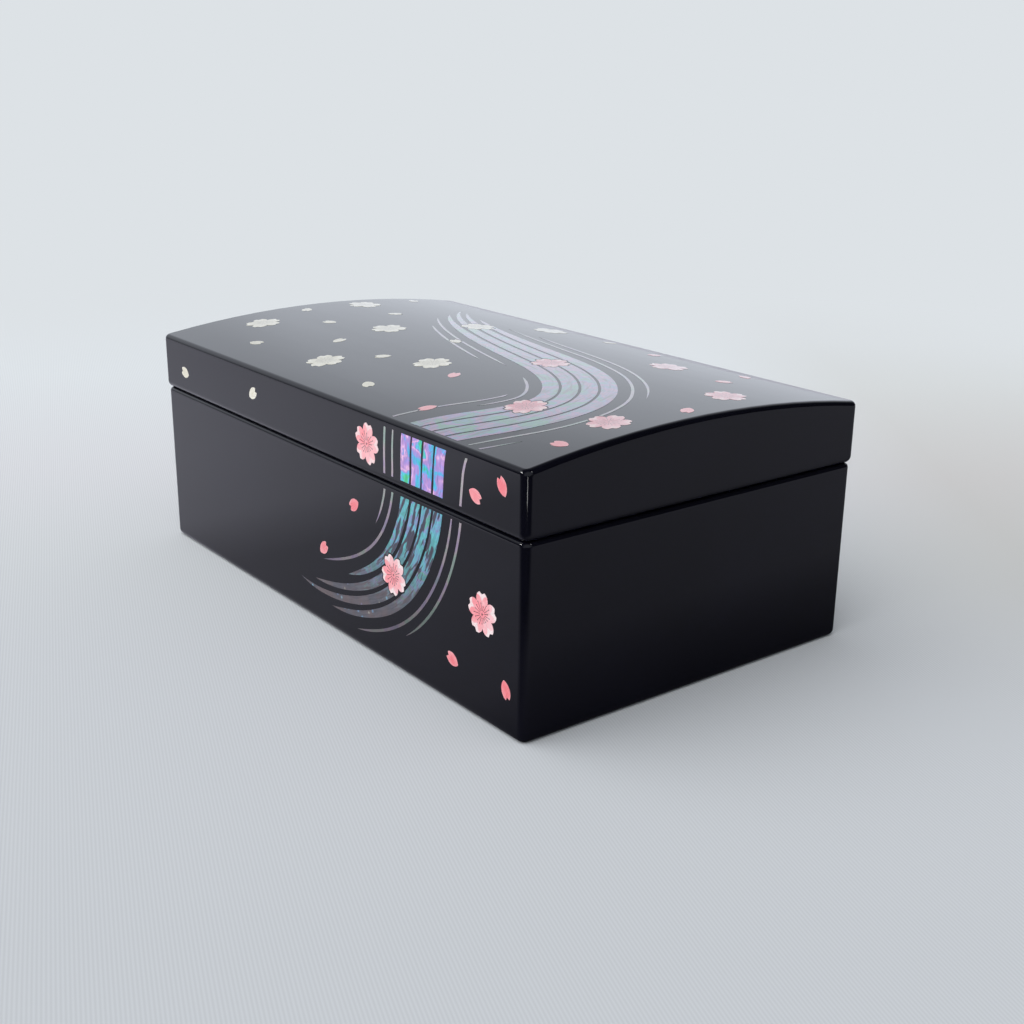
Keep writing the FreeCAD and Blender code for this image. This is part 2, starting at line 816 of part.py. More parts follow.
def inlay(doc, box):
    """All the shell, by the face that it is let into."""
    curve = stream_line(box)
    on_body = FlatFace(
        box, box.half_length, box.half_depth, (0, box.seam_height), (box.edge_radius, box.rim_radius)
    )
    on_lid = FlatFace(
        box, box.lid_half_length, box.lid_half_depth,
        (box.seam_height, box.side_top), (box.lid_foot_radius, box.lid_edge_radius),
    )
    return (
        on_body.decorate(doc, "body", curve, BODY_SCATTER),
        on_lid.decorate(doc, "lid_front", curve, LID_FRONT_SCATTER),
        DomedFace(box).decorate(doc, "lid_top", curve, LID_TOP_SCATTER),
    )


BODY_SCATTER = (
    ("pink_blossoms", blossom, BODY_BLOSSOM_SHARES),
    ("pink_petals", lone_petal, BODY_PETAL_SHARES),
)
LID_FRONT_SCATTER = (
    ("pink_blossoms", blossom, LID_FRONT_BLOSSOM_SHARES),
    ("pink_petals", lone_petal, LID_FRONT_PETAL_SHARES),
    ("cream_petals", lone_petal, LID_FRONT_CREAM_PETAL_SHARES),
)
LID_TOP_SCATTER = (
    ("pink_blossoms", blossom, TOP_PINK_BLOSSOM_SHARES),
    ("cream_blossoms", blossom, TOP_CREAM_BLOSSOM_SHARES),
    ("pink_petals", lone_petal, TOP_PINK_PETAL_SHARES),
    ("cream_petals", lone_petal, TOP_CREAM_PETAL_SHARES),
)


# Whole box


def build(doc):
    """Makes every sub-part and returns them."""
    box = Box(make_sheet(doc))
    body_shell, front_shell, top_shell = inlay(doc, box)
    lips = [lip_strip(doc, box, side) for side in QUARTER_TURNS]
    blank = top_board_blank(doc, box)
    parts = [*body_shell, *front_shell, *top_shell, *lips, floor_board(doc, box), floor_pad(doc, box)]

    body_keys = mitre_keys(
        doc, box, "body_mitre_keys", (box.half_length, box.half_depth), box.wall,
        (box.floor_top + box.key_stop, box.seam_height - box.key_stop),
    )
    walls = {side: body_wall(doc, box, side, body_keys) for side in QUARTER_TURNS}
    lid_keys = mitre_keys(
        doc, box, "lid_mitre_keys", (box.lid_half_length, box.lid_half_depth), box.lid_wall,
        (box.seam_height + box.key_stop, box.side_top - box.top_thickness - box.key_stop),
    )
    dome = dome_tool(doc, box, "underside", box.dome_radius - box.top_thickness)
    lid_walls = {side: lid_wall(doc, box, side, lid_keys, dome) for side in QUARTER_TURNS}

    doc.recompute()
    walls["front"] = inlaid(doc, "body_front_board", walls["front"], body_shell)
    lid_walls["front"] = inlaid(doc, "lid_front_board", lid_walls["front"], front_shell)
    top = inlaid(doc, "lid_top_board", blank, top_shell + front_shell)
    return [*parts, body_keys, lid_keys, top, *walls.values(), *lid_walls.values()]


def inlaid(doc, name, board, pieces):
    """A board with a pocket for each piece of shell that it holds."""
    board.Label = f"{name} before inlay"
    result = doc.addObject("Part::Feature", f"{name}_inlaid")
    result.Shape = board.Shape.cut([piece.Shape for piece in pieces])
    result.Label = name
    return result


def check(doc, parts):
    """Stops if any object failed or any sub-part has no sound shape."""
    for item in doc.Objects:
        if "Invalid" in item.State or "Error" in item.State:
            raise RuntimeError(f"{item.Label}: {item.State}")
    for part in parts:
        shape = part.Shape
        if shape.isNull() or not shape.isValid() or not shape.Solids:
            raise RuntimeError(f"{part.Label}: its shape isn't sound")


def main():
    doc = FreeCAD.newDocument("lacquer_box")
    parts = build(doc)
    check(doc, parts)
    os.makedirs("parts", exist_ok=True)
    for part in parts:
        part.Shape.exportStep(os.path.join("parts", f"{part.Label}.step"))


main()
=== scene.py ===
"""Looks of a black lacquered box: its lacquer, its shell inlay, the pad inside, the light and the view."""

import json
import logging
import math
from dataclasses import dataclass, field
from enum import Enum
from typing import Any, Iterator, Sequence

import bpy
import numpy as np
from mathutils import Matrix, Quaternion, Vector


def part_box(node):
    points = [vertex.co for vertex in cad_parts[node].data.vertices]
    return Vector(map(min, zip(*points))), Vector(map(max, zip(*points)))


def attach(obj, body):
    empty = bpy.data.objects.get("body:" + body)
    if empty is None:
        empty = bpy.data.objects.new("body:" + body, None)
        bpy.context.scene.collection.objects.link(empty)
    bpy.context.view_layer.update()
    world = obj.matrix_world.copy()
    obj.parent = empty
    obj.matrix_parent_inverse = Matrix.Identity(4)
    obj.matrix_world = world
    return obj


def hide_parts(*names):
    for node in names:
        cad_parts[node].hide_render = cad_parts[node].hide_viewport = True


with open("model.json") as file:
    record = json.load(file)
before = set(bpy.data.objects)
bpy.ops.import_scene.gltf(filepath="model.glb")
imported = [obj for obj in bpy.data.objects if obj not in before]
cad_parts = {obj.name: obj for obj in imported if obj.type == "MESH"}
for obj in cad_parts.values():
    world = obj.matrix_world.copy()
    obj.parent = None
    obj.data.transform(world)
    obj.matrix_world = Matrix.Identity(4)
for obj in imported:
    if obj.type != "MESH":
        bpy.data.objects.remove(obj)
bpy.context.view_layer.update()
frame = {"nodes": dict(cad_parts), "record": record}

LOG = logging.getLogger("lacquer_box")
MM = 0.001

BODY = "body"
LID = "lid"
CREASE_DEG = 30.0
# A wave texture of scale one repeats at this length.
WAVE_PERIOD = math.pi / 10

MATH = "ShaderNodeMath"
VECTOR = "ShaderNodeVectorMath"
SPLIT = "ShaderNodeSeparateXYZ"
RANGE = "ShaderNodeMapRange"
RAMP = "ShaderNodeValToRGB"
MIX = "ShaderNodeMix"
NOISE = "ShaderNodeTexNoise"
WAVE = "ShaderNodeTexWave"
MAPPING = "ShaderNodeMapping"
BUMP = "ShaderNodeBump"
SURFACE = "ShaderNodeBsdfPrincipled"
SMOOTH = {"interpolation_type": "SMOOTHSTEP"}
COLOURS = {"data_type": "RGBA"}

Tree = bpy.types.NodeTree
Node = bpy.types.Node
Source = bpy.types.Node | bpy.types.NodeSocket
Piece = bpy.types.Object
Pair = tuple[float, float]
Triple = tuple[float, float, float]
Stops = Sequence[tuple[float, str | float]]


# Colours, sizes and nodes


def linear(colour: str | float) -> tuple[float, float, float, float]:
    """Turns an sRGB hex colour to linear light.

    Args:
        colour: six hex digits after a hash sign, or the level of a grey, which is linear already.

    Returns:
        Red, green, blue and an alpha of one.
    """
    if isinstance(colour, float):
        return colour, colour, colour, 1.0
    channels = [int(colour[i:i + 2], 16) / 255 for i in (1, 3, 5)]
    red, green, blue = (c / 12.92 if c <= 0.04045 else ((c + 0.055) / 1.055) ** 2.4 for c in channels)
    return red, green, blue, 1.0


def per_size(size_mm: float) -> float:
    """Gives the texture scale at which a feature is about so many millimetres wide."""
    return 1 / (size_mm * MM)


def add_node(tree: Tree, kind: str, inputs: dict[str, Any] | Sequence[Any] = (), **options: Any) -> Node:
    """Adds a node to a tree, sets its options and feeds its sockets.

    Args:
        tree: the tree that takes the node.
        kind: the node's type.
        inputs: what feeds the sockets, by name, or in order for the sockets that the options leave in
            use: constants, hex colours, output sockets, or nodes, of which the first output in use counts.
        options: attributes to set, where "stops" holds a ramp's positions and colours.

    Returns:
        The new node.
    """
    node = tree.nodes.new(kind)
    for name, value in options.items():
        if name == "stops":
            elements = node.color_ramp.elements
            while len(elements) < len(value):
                elements.new(1.0)
            for element, (position, colour) in zip(elements, value):
                element.position = position
                element.color = linear(colour)
        else:
            setattr(node, name, value)
    if isinstance(inputs, dict):
        fed = [(node.inputs[name], value) for name, value in inputs.items()]
    else:
        fed = list(zip((socket for socket in node.inputs if socket.enabled), inputs))
    for socket, value in fed:
        if isinstance(value, bpy.types.Node):
            value = next(output for output in value.outputs if output.enabled)
        if isinstance(value, bpy.types.NodeSocket):
            tree.links.new(value, socket)
        else:
            socket.default_value = linear(value) if isinstance(value, str) else value
    return node


# Finishes


@dataclass(frozen=True)
class Finish:
    """What all finishes share: a name, and how they become a material."""

    title: str

    def shade(self, tree: Tree, place: Source) -> Node:
        """Builds the finish's nodes.

        Args:
            tree: the material's tree.
            place: the object's coordinates.

        Returns:
            The shader.
        """
        raise NotImplementedError

    def material(self) -> bpy.types.Material:
        """Gives the finish's material, made once.

        Returns:
            The material, whose name is the finish's title.
        """
        known = bpy.data.materials.get(self.title)
        if known:
            return known
        made = bpy.data.materials.new(self.title)
        made.use_nodes = True
        tree = made.node_tree
        tree.nodes.clear()
        place = add_node(tree, "ShaderNodeTexCoord").outputs["Object"]
        add_node(tree, "ShaderNodeOutputMaterial", {"Surface": self.shade(tree, place)})
        return made


@dataclass(frozen=True)
class Lacquer(Finish):
    """Black lacquer in many coats, each rubbed down; the last polished or left satin.

    The coats are near black all through, so the eye sees only what they mirror. Polishing by hand
    leaves the face very slightly uneven, which makes long reflections waver.
    """

    deep: str = "#07070F"
    worn: str = "#0B0B15"
    roughness: Pair = (0.05, 0.085)
    ior: float = 1.42
    waver_mm: float = 14.0
    waver_depth_mm: float = 0.012
    cloud_mm: float = 38.0

    def shade(self, tree: Tree, place: Source) -> Node:
        """Builds the lacquer's nodes."""
        cloud = add_node(tree, NOISE, (place, per_size(self.cloud_mm), 3.0, 0.6))
        waver = add_node(tree, NOISE, (place, per_size(self.waver_mm), 1.0))
        return add_node(tree, SURFACE, {
            "Base Color": add_node(tree, RAMP, (cloud,), stops=((0.35, self.deep), (0.7, self.worn))),
            "Roughness": add_node(tree, RANGE, (cloud, 0.3, 0.7, *self.roughness)),
            "IOR": self.ior,
            "Normal": add_node(tree, BUMP, {"Height": waver, "Distance": self.waver_depth_mm * MM}),
        })


@dataclass(frozen=True)
class PolishedShell(Finish):
    """What all shell shares: it is ground thin, cut, and polished under clear lacquer."""

    roughness: float = 0.30
    gloss: float = 0.25
    coat_roughness: float = 0.06
    coat_ior: float = 1.42

    def colour(self, tree: Tree, place: Source) -> Node:
        """Builds the shell's own colour."""
        raise NotImplementedError

    def shade(self, tree: Tree, place: Source) -> Node:
        """Lays the clear coat over the shell's colour."""
        return add_node(tree, SURFACE, {
            "Base Color": self.colour(tree, place), "Roughness": self.roughness,
            "Specular IOR Level": self.gloss, "Coat Weight": 1.0, "Coat Roughness": self.coat_roughness,
            "Coat IOR": self.coat_ior,
        })


@dataclass(frozen=True, kw_only=True)
class Abalone(PolishedShell):
    """Abalone shell, cut to strips.

    Its layers split light into soft patches of turquoise, violet, rose and green. Where the layers turn
    away, dull lens-shaped streaks lie along the strip, and fine growth lines cross it all.
    """

    hues: Stops
    dull: str
    patch_mm: float = 6.5
    patch_swirl: float = 0.7
    mottle: float = 0.12
    mottle_mm: Pair = (2.2, 0.8)
    streak_mm: Pair = (9.0, 1.5)
    dull_at: Pair
    growth_mm: Pair = (4.0, 0.45)
    growth_at: Pair = (0.3, 0.65)
    growth_tones: Pair = (0.74, 1.12)

    def drawn_out(self, tree: Tree, flow: Source, size_mm: Pair) -> Node:
        """Makes noise drawn out along the strip.

        Args:
            tree: the material's tree.
            flow: the place along and across the strip.
            size_mm: how long and how wide a feature is.

        Returns:
            The noise.
        """
        scale = (per_size(size_mm[0]), per_size(size_mm[1]), 1.0)
        scaled = add_node(tree, MAPPING, {"Vector": flow, "Scale": scale})
        return add_node(tree, NOISE, {"Vector": scaled, "Scale": 1.0, "Detail": 2.0, "Distortion": 0.4})

    def sheen(self, tree: Tree, place: Source, flow: Source) -> Node:
        """Makes the play of colour, with its dull streaks."""
        patches = add_node(tree, NOISE, {
            "Vector": place, "Scale": per_size(self.patch_mm), "Detail": 3.0, "Roughness": 0.6,
            "Distortion": self.patch_swirl,
        })
        fine = self.drawn_out(tree, flow, self.mottle_mm)
        mixed = add_node(tree, MATH, (fine, self.mottle, patches), operation="MULTIPLY_ADD")
        stops = [(position + self.mottle / 2, colour) for position, colour in self.hues]
        hue = add_node(tree, RAMP, (mixed,), stops=stops)
        streaks = self.drawn_out(tree, flow, self.streak_mm)
        bright = add_node(tree, RANGE, (streaks, *self.dull_at), **SMOOTH)
        return add_node(tree, MIX, (bright, self.dull, hue), **COLOURS)

    def colour(self, tree: Tree, place: Source) -> Node:
        """Crosses the play of colour with growth lines."""
        flow = add_node(tree, "ShaderNodeUVMap", uv_map="flow")
        lines = self.drawn_out(tree, flow, self.growth_mm)
        growth = add_node(tree, RANGE, (lines, *self.growth_at, *self.growth_tones))
        return add_node(tree, VECTOR, (self.sheen(tree, place, flow), growth), operation="SCALE")


@dataclass(frozen=True, kw_only=True)
class FadingAbalone(Abalone):
    """Abalone from the shell's edge: its colour goes out towards the foot, which stays grey and speckled."""

    worn: str = "#565660"
    rusty: str = "#64585B"
    speckles: Stops = (
        (0.0, "#A0705A"), (0.3, "#C9BFA5"), (0.5, "#5FA3C8"), (0.7, "#7C6A86"), (1.0, "#A07A62"),
    )
    speckle_mm: float = 1.9
    speckle_share: float = 0.26
    speckle_edge: Pair = (0.34, 0.16)
    speckle_cover: float = 0.9
    fades_mm: Pair = (14.0, 44.0)
    wander_mm: float = 18.0

    def sheen(self, tree: Tree, place: Source, flow: Source) -> Node:
        """Makes the play of colour above, and the worn grey with its speckles below."""
        vivid = super().sheen(tree, place, flow)
        cloud = add_node(tree, NOISE, (place, per_size(self.patch_mm), 3.0))
        worn = add_node(tree, RAMP, (cloud,), stops=((0.40, self.worn), (0.60, self.rusty)))
        cells = add_node(tree, "ShaderNodeTexVoronoi", (place, per_size(self.speckle_mm)))
        chance = add_node(tree, "ShaderNodeSeparateColor", {"Color": cells.outputs["Color"]}).outputs
        fleck = add_node(tree, RANGE, (cells, *self.speckle_edge, 0.0, self.speckle_cover))
        chosen = add_node(tree, MATH, (chance["Red"], self.speckle_share), operation="LESS_THAN")
        shown = add_node(tree, MATH, (fleck, chosen), operation="MULTIPLY")
        fleck_hue = add_node(tree, RAMP, (chance["Green"],), stops=self.speckles)
        speckled = add_node(tree, MIX, (shown, worn, fleck_hue), **COLOURS)
        height = add_node(tree, SPLIT, (place,)).outputs["Z"]
        wander = add_node(tree, MATH, (cloud, self.wander_mm * MM, height), operation="MULTIPLY_ADD")
        fades = [(height_mm + self.wander_mm / 2) * MM for height_mm in self.fades_mm]
        alive = add_node(tree, RANGE, (wander, *fades), **SMOOTH)
        return add_node(tree, MIX, (alive, speckled, vivid), **COLOURS)


@dataclass(frozen=True, kw_only=True)
class LineShell(PolishedShell):
    """Hair-thin strips of grey shell, each with a faint drift of violet, rose and green along it.

    The strips low on the box are darker than those above.
    """

    hues: Stops
    roughness: float = 0.28
    drift_mm: float = 7.0
    dim_mm: float = 15.0
    clear_mm: float = 60.0
    dim_share: float = 0.32

    def colour(self, tree: Tree, place: Source) -> Node:
        """Lets the hue drift, and darkens it towards the foot."""
        drift = add_node(tree, NOISE, (place, per_size(self.drift_mm), 2.0))
        hue = add_node(tree, RAMP, (drift,), stops=self.hues)
        height = add_node(tree, SPLIT, (place,)).outputs["Z"]
        light = add_node(tree, RANGE, (height, self.dim_mm * MM, self.clear_mm * MM, self.dim_share))
        return add_node(tree, VECTOR, (hue, light), operation="SCALE")


@dataclass(frozen=True, kw_only=True)
class CutShell(PolishedShell):
    """Shell tinted from below, cut to a blossom or a petal and engraved.

    The tint shows through as a soft warm colour, deeper on one side of each piece than on the other,
    and pales in a thin line at the cut edge, where the shell is ground thinnest. Engraved lines are
    rubbed with black.
    """

    heart: str
    body: str
    rim: str
    line: str = "#2B1618"
    mottle_mm: float = 2.2
    turning: float = 0.30
    paling: float = 0.35
    cutting_share: float = 0.35
    drift_at: Pair = (0.42, 1.02)
    rim_at: Pair = (0.90, 0.96)
    rim_cover: float = 0.8

    def edge_share(self, tree: Tree, spot: Source) -> Node:
        """Tells how near a spot is to the cut edge, from 0 in the middle to 1."""
        raise NotImplementedError

    def engraving(self, tree: Tree, spot: Source) -> Node:
        """Tells where the engraved lines are, from 0 on plain shell to 1 in a line."""
        raise NotImplementedError

    def colour(self, tree: Tree, place: Source) -> Node:
        """Spreads the tint over each piece, pales its rim and inks its lines."""
        spot = add_node(tree, "ShaderNodeUVMap", uv_map="cut")
        cutting = add_node(tree, "ShaderNodeAttribute", attribute_name="cutting").outputs["Fac"]
        drift = add_node(tree, NOISE, (place, per_size(self.mottle_mm), 4.0, 0.6))
        aside = add_node(tree, SPLIT, (spot,)).outputs["X"]
        edge = self.edge_share(tree, spot)
        for source, share in ((aside, self.turning), (edge, self.paling), (cutting, self.cutting_share)):
            drift = add_node(tree, MATH, (source, share, drift), operation="MULTIPLY_ADD")
        spread = add_node(tree, RANGE, (drift, *self.drift_at), **SMOOTH)
        soft = add_node(tree, MIX, (spread, self.heart, self.body), **COLOURS)
        ground = add_node(tree, RANGE, (edge, *self.rim_at, 0.0, self.rim_cover))
        tint = add_node(tree, MIX, (ground, soft, self.rim), **COLOURS)
        return add_node(tree, MIX, (self.engraving(tree, spot), tint, self.line), **COLOURS)


@dataclass(frozen=True, kw_only=True)
class BlossomShell(CutShell):
    """A five-petalled blossom, engraved with stamens, their tips and the folds between petals.

    Shares are of the blossom's radius; the outline gives it from a petal's middle line to the valley.
    """

    petals: int = 5
    stamens: int = 17
    outline: Stops = ((0.0, 0.89), (0.28, 1.0), (0.5, 0.951), (0.72, 0.86), (1.0, 0.63))
    heart_share: float = 0.05
    bare_share: float = 0.16
    shortest_share: float = 0.36
    longer_share: float = 0.24
    stroke_share: float = 0.013
    tip_share: float = 0.030
    fold_depth: float = 0.4
    ink: float = 0.85

    def bearing(self, tree: Tree, spot: Source) -> Node:
        """Gives the bearing of a spot from the blossom's middle, in radians."""
        split = add_node(tree, SPLIT, (spot,)).outputs
        return add_node(tree, MATH, (split["Y"], split["X"]), operation="ARCTAN2")

    def out(self, tree: Tree, spot: Source) -> Node:
        """Gives how far a spot is from the blossom's middle, as a share of its radius."""
        return add_node(tree, VECTOR, (spot,), operation="LENGTH")

    def off_petal(self, tree: Tree, spot: Source) -> Node:
        """Gives the share of the way from a petal's middle line to the valley beside it."""
        turns = add_node(
            tree, MATH, (self.bearing(tree, spot), self.petals / math.pi), operation="MULTIPLY",
        )
        return add_node(tree, MATH, (turns, 1.0), operation="PINGPONG")

    def edge_share(self, tree: Tree, spot: Source) -> Node:
        """Tells how near a spot is to the blossom's outline."""
        limit = add_node(tree, RAMP, (self.off_petal(tree, spot),), stops=self.outline)
        return add_node(tree, MATH, (self.out(tree, spot), limit), operation="DIVIDE")

    def engraving(self, tree: Tree, spot: Source) -> Node:
        """Draws stamens of uneven length with a dot at each tip, and a fold in each valley."""
        out = self.out(tree, spot)
        turns = add_node(
            tree, MATH, (self.bearing(tree, spot), self.stamens / math.tau), operation="MULTIPLY",
        )
        number = add_node(tree, MATH, (turns,), operation="FLOOR")
        chance = add_node(tree, "ShaderNodeTexWhiteNoise", (number,), noise_dimensions="1D")
        reach = add_node(
            tree, MATH, (chance, self.longer_share, self.shortest_share), operation="MULTIPLY_ADD",
        )
        part = add_node(tree, MATH, (turns, number), operation="SUBTRACT")
        aside = add_node(tree, MATH, (part, 0.5), operation="SUBTRACT")
        angle = add_node(tree, MATH, (aside, math.tau / self.stamens), operation="MULTIPLY")
        across = add_node(tree, MATH, (angle, out), operation="MULTIPLY")
        width = add_node(tree, MATH, (across,), operation="ABSOLUTE")
        beyond = add_node(tree, MATH, (out, reach), operation="SUBTRACT")
        offset = add_node(tree, "ShaderNodeCombineXYZ", (across, beyond))
        from_tip = add_node(tree, VECTOR, (offset,), operation="LENGTH")
        valley = add_node(tree, MATH, (1.0, self.off_petal(tree, spot)), operation="SUBTRACT")
        off_fold = add_node(tree, MATH, (valley, out), operation="MULTIPLY")
        stem, short, tip, heart, fold = (
            add_node(tree, MATH, (distance, limit), operation="LESS_THAN")
            for distance, limit in (
                (width, self.stroke_share), (beyond, 0.0), (from_tip, self.tip_share),
                (out, self.heart_share), (off_fold, self.stroke_share),
            )
        )
        past_heart = add_node(tree, MATH, (out, self.bare_share), operation="GREATER_THAN")
        for mask in (short, past_heart):
            stem = add_node(tree, MATH, (stem, mask), operation="MULTIPLY")
        total = add_node(tree, MATH, (fold, self.fold_depth), operation="MULTIPLY")
        for mark in (stem, tip, heart):
            total = add_node(tree, MATH, (total, mark), operation="MAXIMUM")
        return add_node(tree, MATH, (total, self.ink), operation="MULTIPLY")


@dataclass(frozen=True, kw_only=True)
class PetalShell(CutShell):
    """A single petal, its colour deepest in the middle, with a few fine veins from its foot.

    Sizes are shares of the petal's length.
    """

    half_width: float = 0.36
    half_length: float = 0.52
    fan_below: float = 0.25
    veins: float = 46.0
    vein_from: float = 0.55
    vein_depth: float = 0.22

    def edge_share(self, tree: Tree, spot: Source) -> Node:
        """Tells how near a spot is to the petal's edge, taking the petal for an oval."""
        oval = add_node(tree, VECTOR, (spot, (self.half_width, self.half_length, 1.0)), operation="DIVIDE")
        return add_node(tree, VECTOR, (oval,), operation="LENGTH")

    def engraving(self, tree: Tree, spot: Source) -> Node:
        """Draws faint veins that fan out from the petal's foot."""
        foot = (0.0, self.half_length + self.fan_below, 0.0)
        moved = add_node(tree, MAPPING, {"Vector": spot, "Location": foot})
        split = add_node(tree, SPLIT, (moved,)).outputs
        fan = add_node(tree, MATH, (split["X"], split["Y"]), operation="ARCTAN2")
        wave = add_node(tree, MATH, (fan, self.veins), operation="MULTIPLY")
        cosine = add_node(tree, MATH, (wave,), operation="COSINE")
        return add_node(tree, RANGE, (cosine, self.vein_from, 1.0, 0.0, self.vein_depth))


class Tint(Enum):
    """The colours that blossoms and petals are cut in, by their word in the nodes' names."""

    PINK = "pink"
    CREAM = "cream"


class Shape(Enum):
    """The shapes that blossoms and petals are cut to, by their word in the nodes' names."""

    BLOSSOMS = "blossoms"
    PETALS = "petals"


@dataclass(frozen=True)
class BareWood(Finish):
    """Cypress keys, planed and glued: pale, straight-grained, a little darker in the late wood."""

    early: str = "#C9A574"
    late: str = "#A67C4B"
    ring_mm: float = 1.4
    grain_depth_mm: float = 0.05
    roughness: float = 0.6

    def shade(self, tree: Tree, place: Source) -> Node:
        """Builds the wood's nodes."""
        rings = add_node(tree, WAVE, {
            "Vector": place, "Scale": WAVE_PERIOD * per_size(self.ring_mm), "Distortion": 3.0, "Detail": 2.0,
        }).outputs["Fac"]
        return add_node(tree, SURFACE, {
            "Base Color": add_node(tree, RAMP, (rings,), stops=((0.2, self.early), (0.9, self.late))),
            "Roughness": self.roughness,
            "Normal": add_node(tree, BUMP, {"Height": rings, "Distance": self.grain_depth_mm * MM}),
        })


@dataclass(frozen=True)
class Velvet(Finish):
    """Cotton velvet with a short pile: dark from above, paler at a slant, mottled where the pile leans.

    The pile itself is about 0.2 mm and too fine to show, so it is drawn at three times that.
    """

    deep: str = "#3E0710"
    raised: str = "#6E1420"
    sheen: str = "#D9707C"
    pile_mm: float = 0.6
    pile_depth_mm: float = 0.25
    nap_mm: float = 17.0

    def shade(self, tree: Tree, place: Source) -> Node:
        """Builds the velvet's nodes."""
        pile = add_node(tree, NOISE, (place, per_size(self.pile_mm), 2.0))
        nap = add_node(tree, NOISE, {
            "Vector": place, "Scale": per_size(self.nap_mm), "Detail": 3.0, "Distortion": 0.6,
        })
        lean = add_node(tree, MATH, (pile, 0.5, nap), operation="MULTIPLY_ADD")
        return add_node(tree, SURFACE, {
            "Base Color": add_node(tree, RAMP, (lean,), stops=((0.55, self.deep), (0.95, self.raised))),
            "Roughness": 0.95, "Specular IOR Level": 0.2,
            "Sheen Weight": 0.8, "Sheen Roughness": 0.35, "Sheen Tint": self.sheen,
            "Normal": add_node(tree, BUMP, {
                "Height": pile, "Distance": self.pile_depth_mm * MM, "Strength": 0.8,
            }),
        })


@dataclass(frozen=True)
class PaleSheet(Finish):
    """The matt sheet underneath, finely ribbed, which sweeps up far behind the box.

    The real sheet is curved up, so it grows paler behind the box until nothing parts it from the
    backdrop. Here it lies flat, and that paling is painted: its tone follows the depth of the view, and
    far away it goes over to the backdrop's own colour. The room's warm shade over its right side is painted
    on. What the lacquer mirrors of it is painted shade as well: darker to the right and towards the camera,
    where the real one lies in the shade of the room.
    Lengths are in metres from the middle of the box.
    """

    depth: Triple = (-0.79, 0.613, 0.0)
    tones: Stops = (
        (-0.20, "#C5C9CE"), (-0.06, "#CBCFD4"), (0.02, "#D0D4D8"), (0.12, "#D7D9DE"), (0.29, "#DDE2E6"),
    )
    right_side: Triple = (0.613, 0.79, 0.0)
    shade_across: Stops = ((0.12, 0.0), (0.15, 0.45), (0.19, 1.0))
    shade_along: Stops = ((-0.13, 0.0), (0.0, 1.0), (0.12, 1.0), (0.40, 0.35))
    shade_tone: str = "#F1EEE9"
    mirrored: Stops = (
        (-0.35, 0.86), (-0.26, 0.89), (-0.19, 0.87), (-0.11, 0.78), (-0.06, 0.46), (0.0, 0.42),
        (0.07, 0.28), (0.10, 0.08), (0.127, 0.17), (0.15, 0.28), (0.30, 0.40),
    )
    mirror_tone: str = "#F0F0FF"
    camera_side: Triple = (0.6, -0.8, 0.0)
    camera_shade_at: Pair = (0.12, 0.20)
    camera_shade: float = 0.06
    backdrop: str = "#DDE2E6"
    backdrop_at: Pair = (0.35, 0.60)
    rib_mm: float = 0.85
    rib_turn_deg: float = -70.0
    rib_depth: float = 0.045

    def along(self, tree: Tree, length: Source, stops: Stops) -> Node:
        """Makes a colour that follows a length.

        Args:
            tree: the material's tree.
            length: the length in metres.
            stops: lengths from small to large, each with its colour.

        Returns:
            The colour.
        """
        first, last = stops[0][0], stops[-1][0]
        share = add_node(tree, RANGE, (length, first, last))
        shares = [((at - first) / (last - first), colour) for at, colour in stops]
        return add_node(tree, RAMP, (share,), stops=shares)

    def seen(self, tree: Tree, deep: Source, aside: Source) -> Node:
        """Makes the colour that the eye sees: painted paler with depth, and with a warm painted shade on the
        right.
        """
        # Painted paling with depth, for the light on the real sheet's upward curve.
        tone = self.along(tree, deep, self.tones)
        # Painted warm shade over the sheet's right side.
        across = self.along(tree, aside, self.shade_across)
        along = self.along(tree, deep, self.shade_along)
        painted_shade_share = add_node(tree, MATH, (across, along), operation="MULTIPLY")
        return add_node(tree, MIX, (painted_shade_share, tone, self.shade_tone), blend_type="MULTIPLY", **COLOURS)

    def mirror(self, tree: Tree, place: Source, closer: Source) -> Node:
        """Makes the colour that the lacquer mirrors, in painted shade to the right and towards the camera's
        side.
        """
        # Painted shade in the mirrored sheet: darker to the right and towards the camera.
        dim = self.along(tree, add_node(tree, SPLIT, (place,)).outputs["X"], self.mirrored)
        shade = add_node(tree, RANGE, (closer, *self.camera_shade_at, 1.0, self.camera_shade), **SMOOTH)
        toned = add_node(tree, VECTOR, (dim, linear(self.mirror_tone)[:3]), operation="MULTIPLY")
        return add_node(tree, VECTOR, (toned, shade), operation="SCALE")

    def shade(self, tree: Tree, place: Source) -> Node:
        """Builds the sheet's nodes."""
        path = add_node(tree, "ShaderNodeLightPath").outputs
        deep, aside, closer = (
            add_node(tree, VECTOR, (place, direction), operation="DOT_PRODUCT")
            for direction in (self.depth, self.right_side, self.camera_side)
        )
        colour = add_node(tree, MIX, (
            path["Is Glossy Ray"], self.seen(tree, deep, aside), self.mirror(tree, place, closer),
        ), **COLOURS)
        turn = (0.0, 0.0, math.radians(self.rib_turn_deg))
        ribs = add_node(tree, WAVE, {
            "Vector": add_node(tree, MAPPING, {"Vector": place, "Rotation": turn}),
            "Scale": WAVE_PERIOD * per_size(self.rib_mm),
            "Distortion": 0.6, "Detail": 1.0, "Detail Scale": 0.05,
        }).outputs["Fac"]
        thread = add_node(tree, RANGE, (ribs, 0.0, 1.0, 1.0 - self.rib_depth, 1.0 + self.rib_depth))
        woven = add_node(tree, VECTOR, (colour, thread), operation="SCALE")
        near = add_node(tree, SURFACE, {"Base Color": woven, "Roughness": 0.8, "Specular IOR Level": 0.2})
        far = add_node(tree, "ShaderNodeEmission", (self.backdrop, 1.0))
        away = add_node(tree, VECTOR, (place,), operation="LENGTH")
        beyond = add_node(tree, RANGE, (away, *self.backdrop_at), **SMOOTH)
        shown = add_node(tree, MATH, (beyond, path["Is Camera Ray"]), operation="MULTIPLY")
        return add_node(tree, "ShaderNodeMixShader", (shown, near, far))


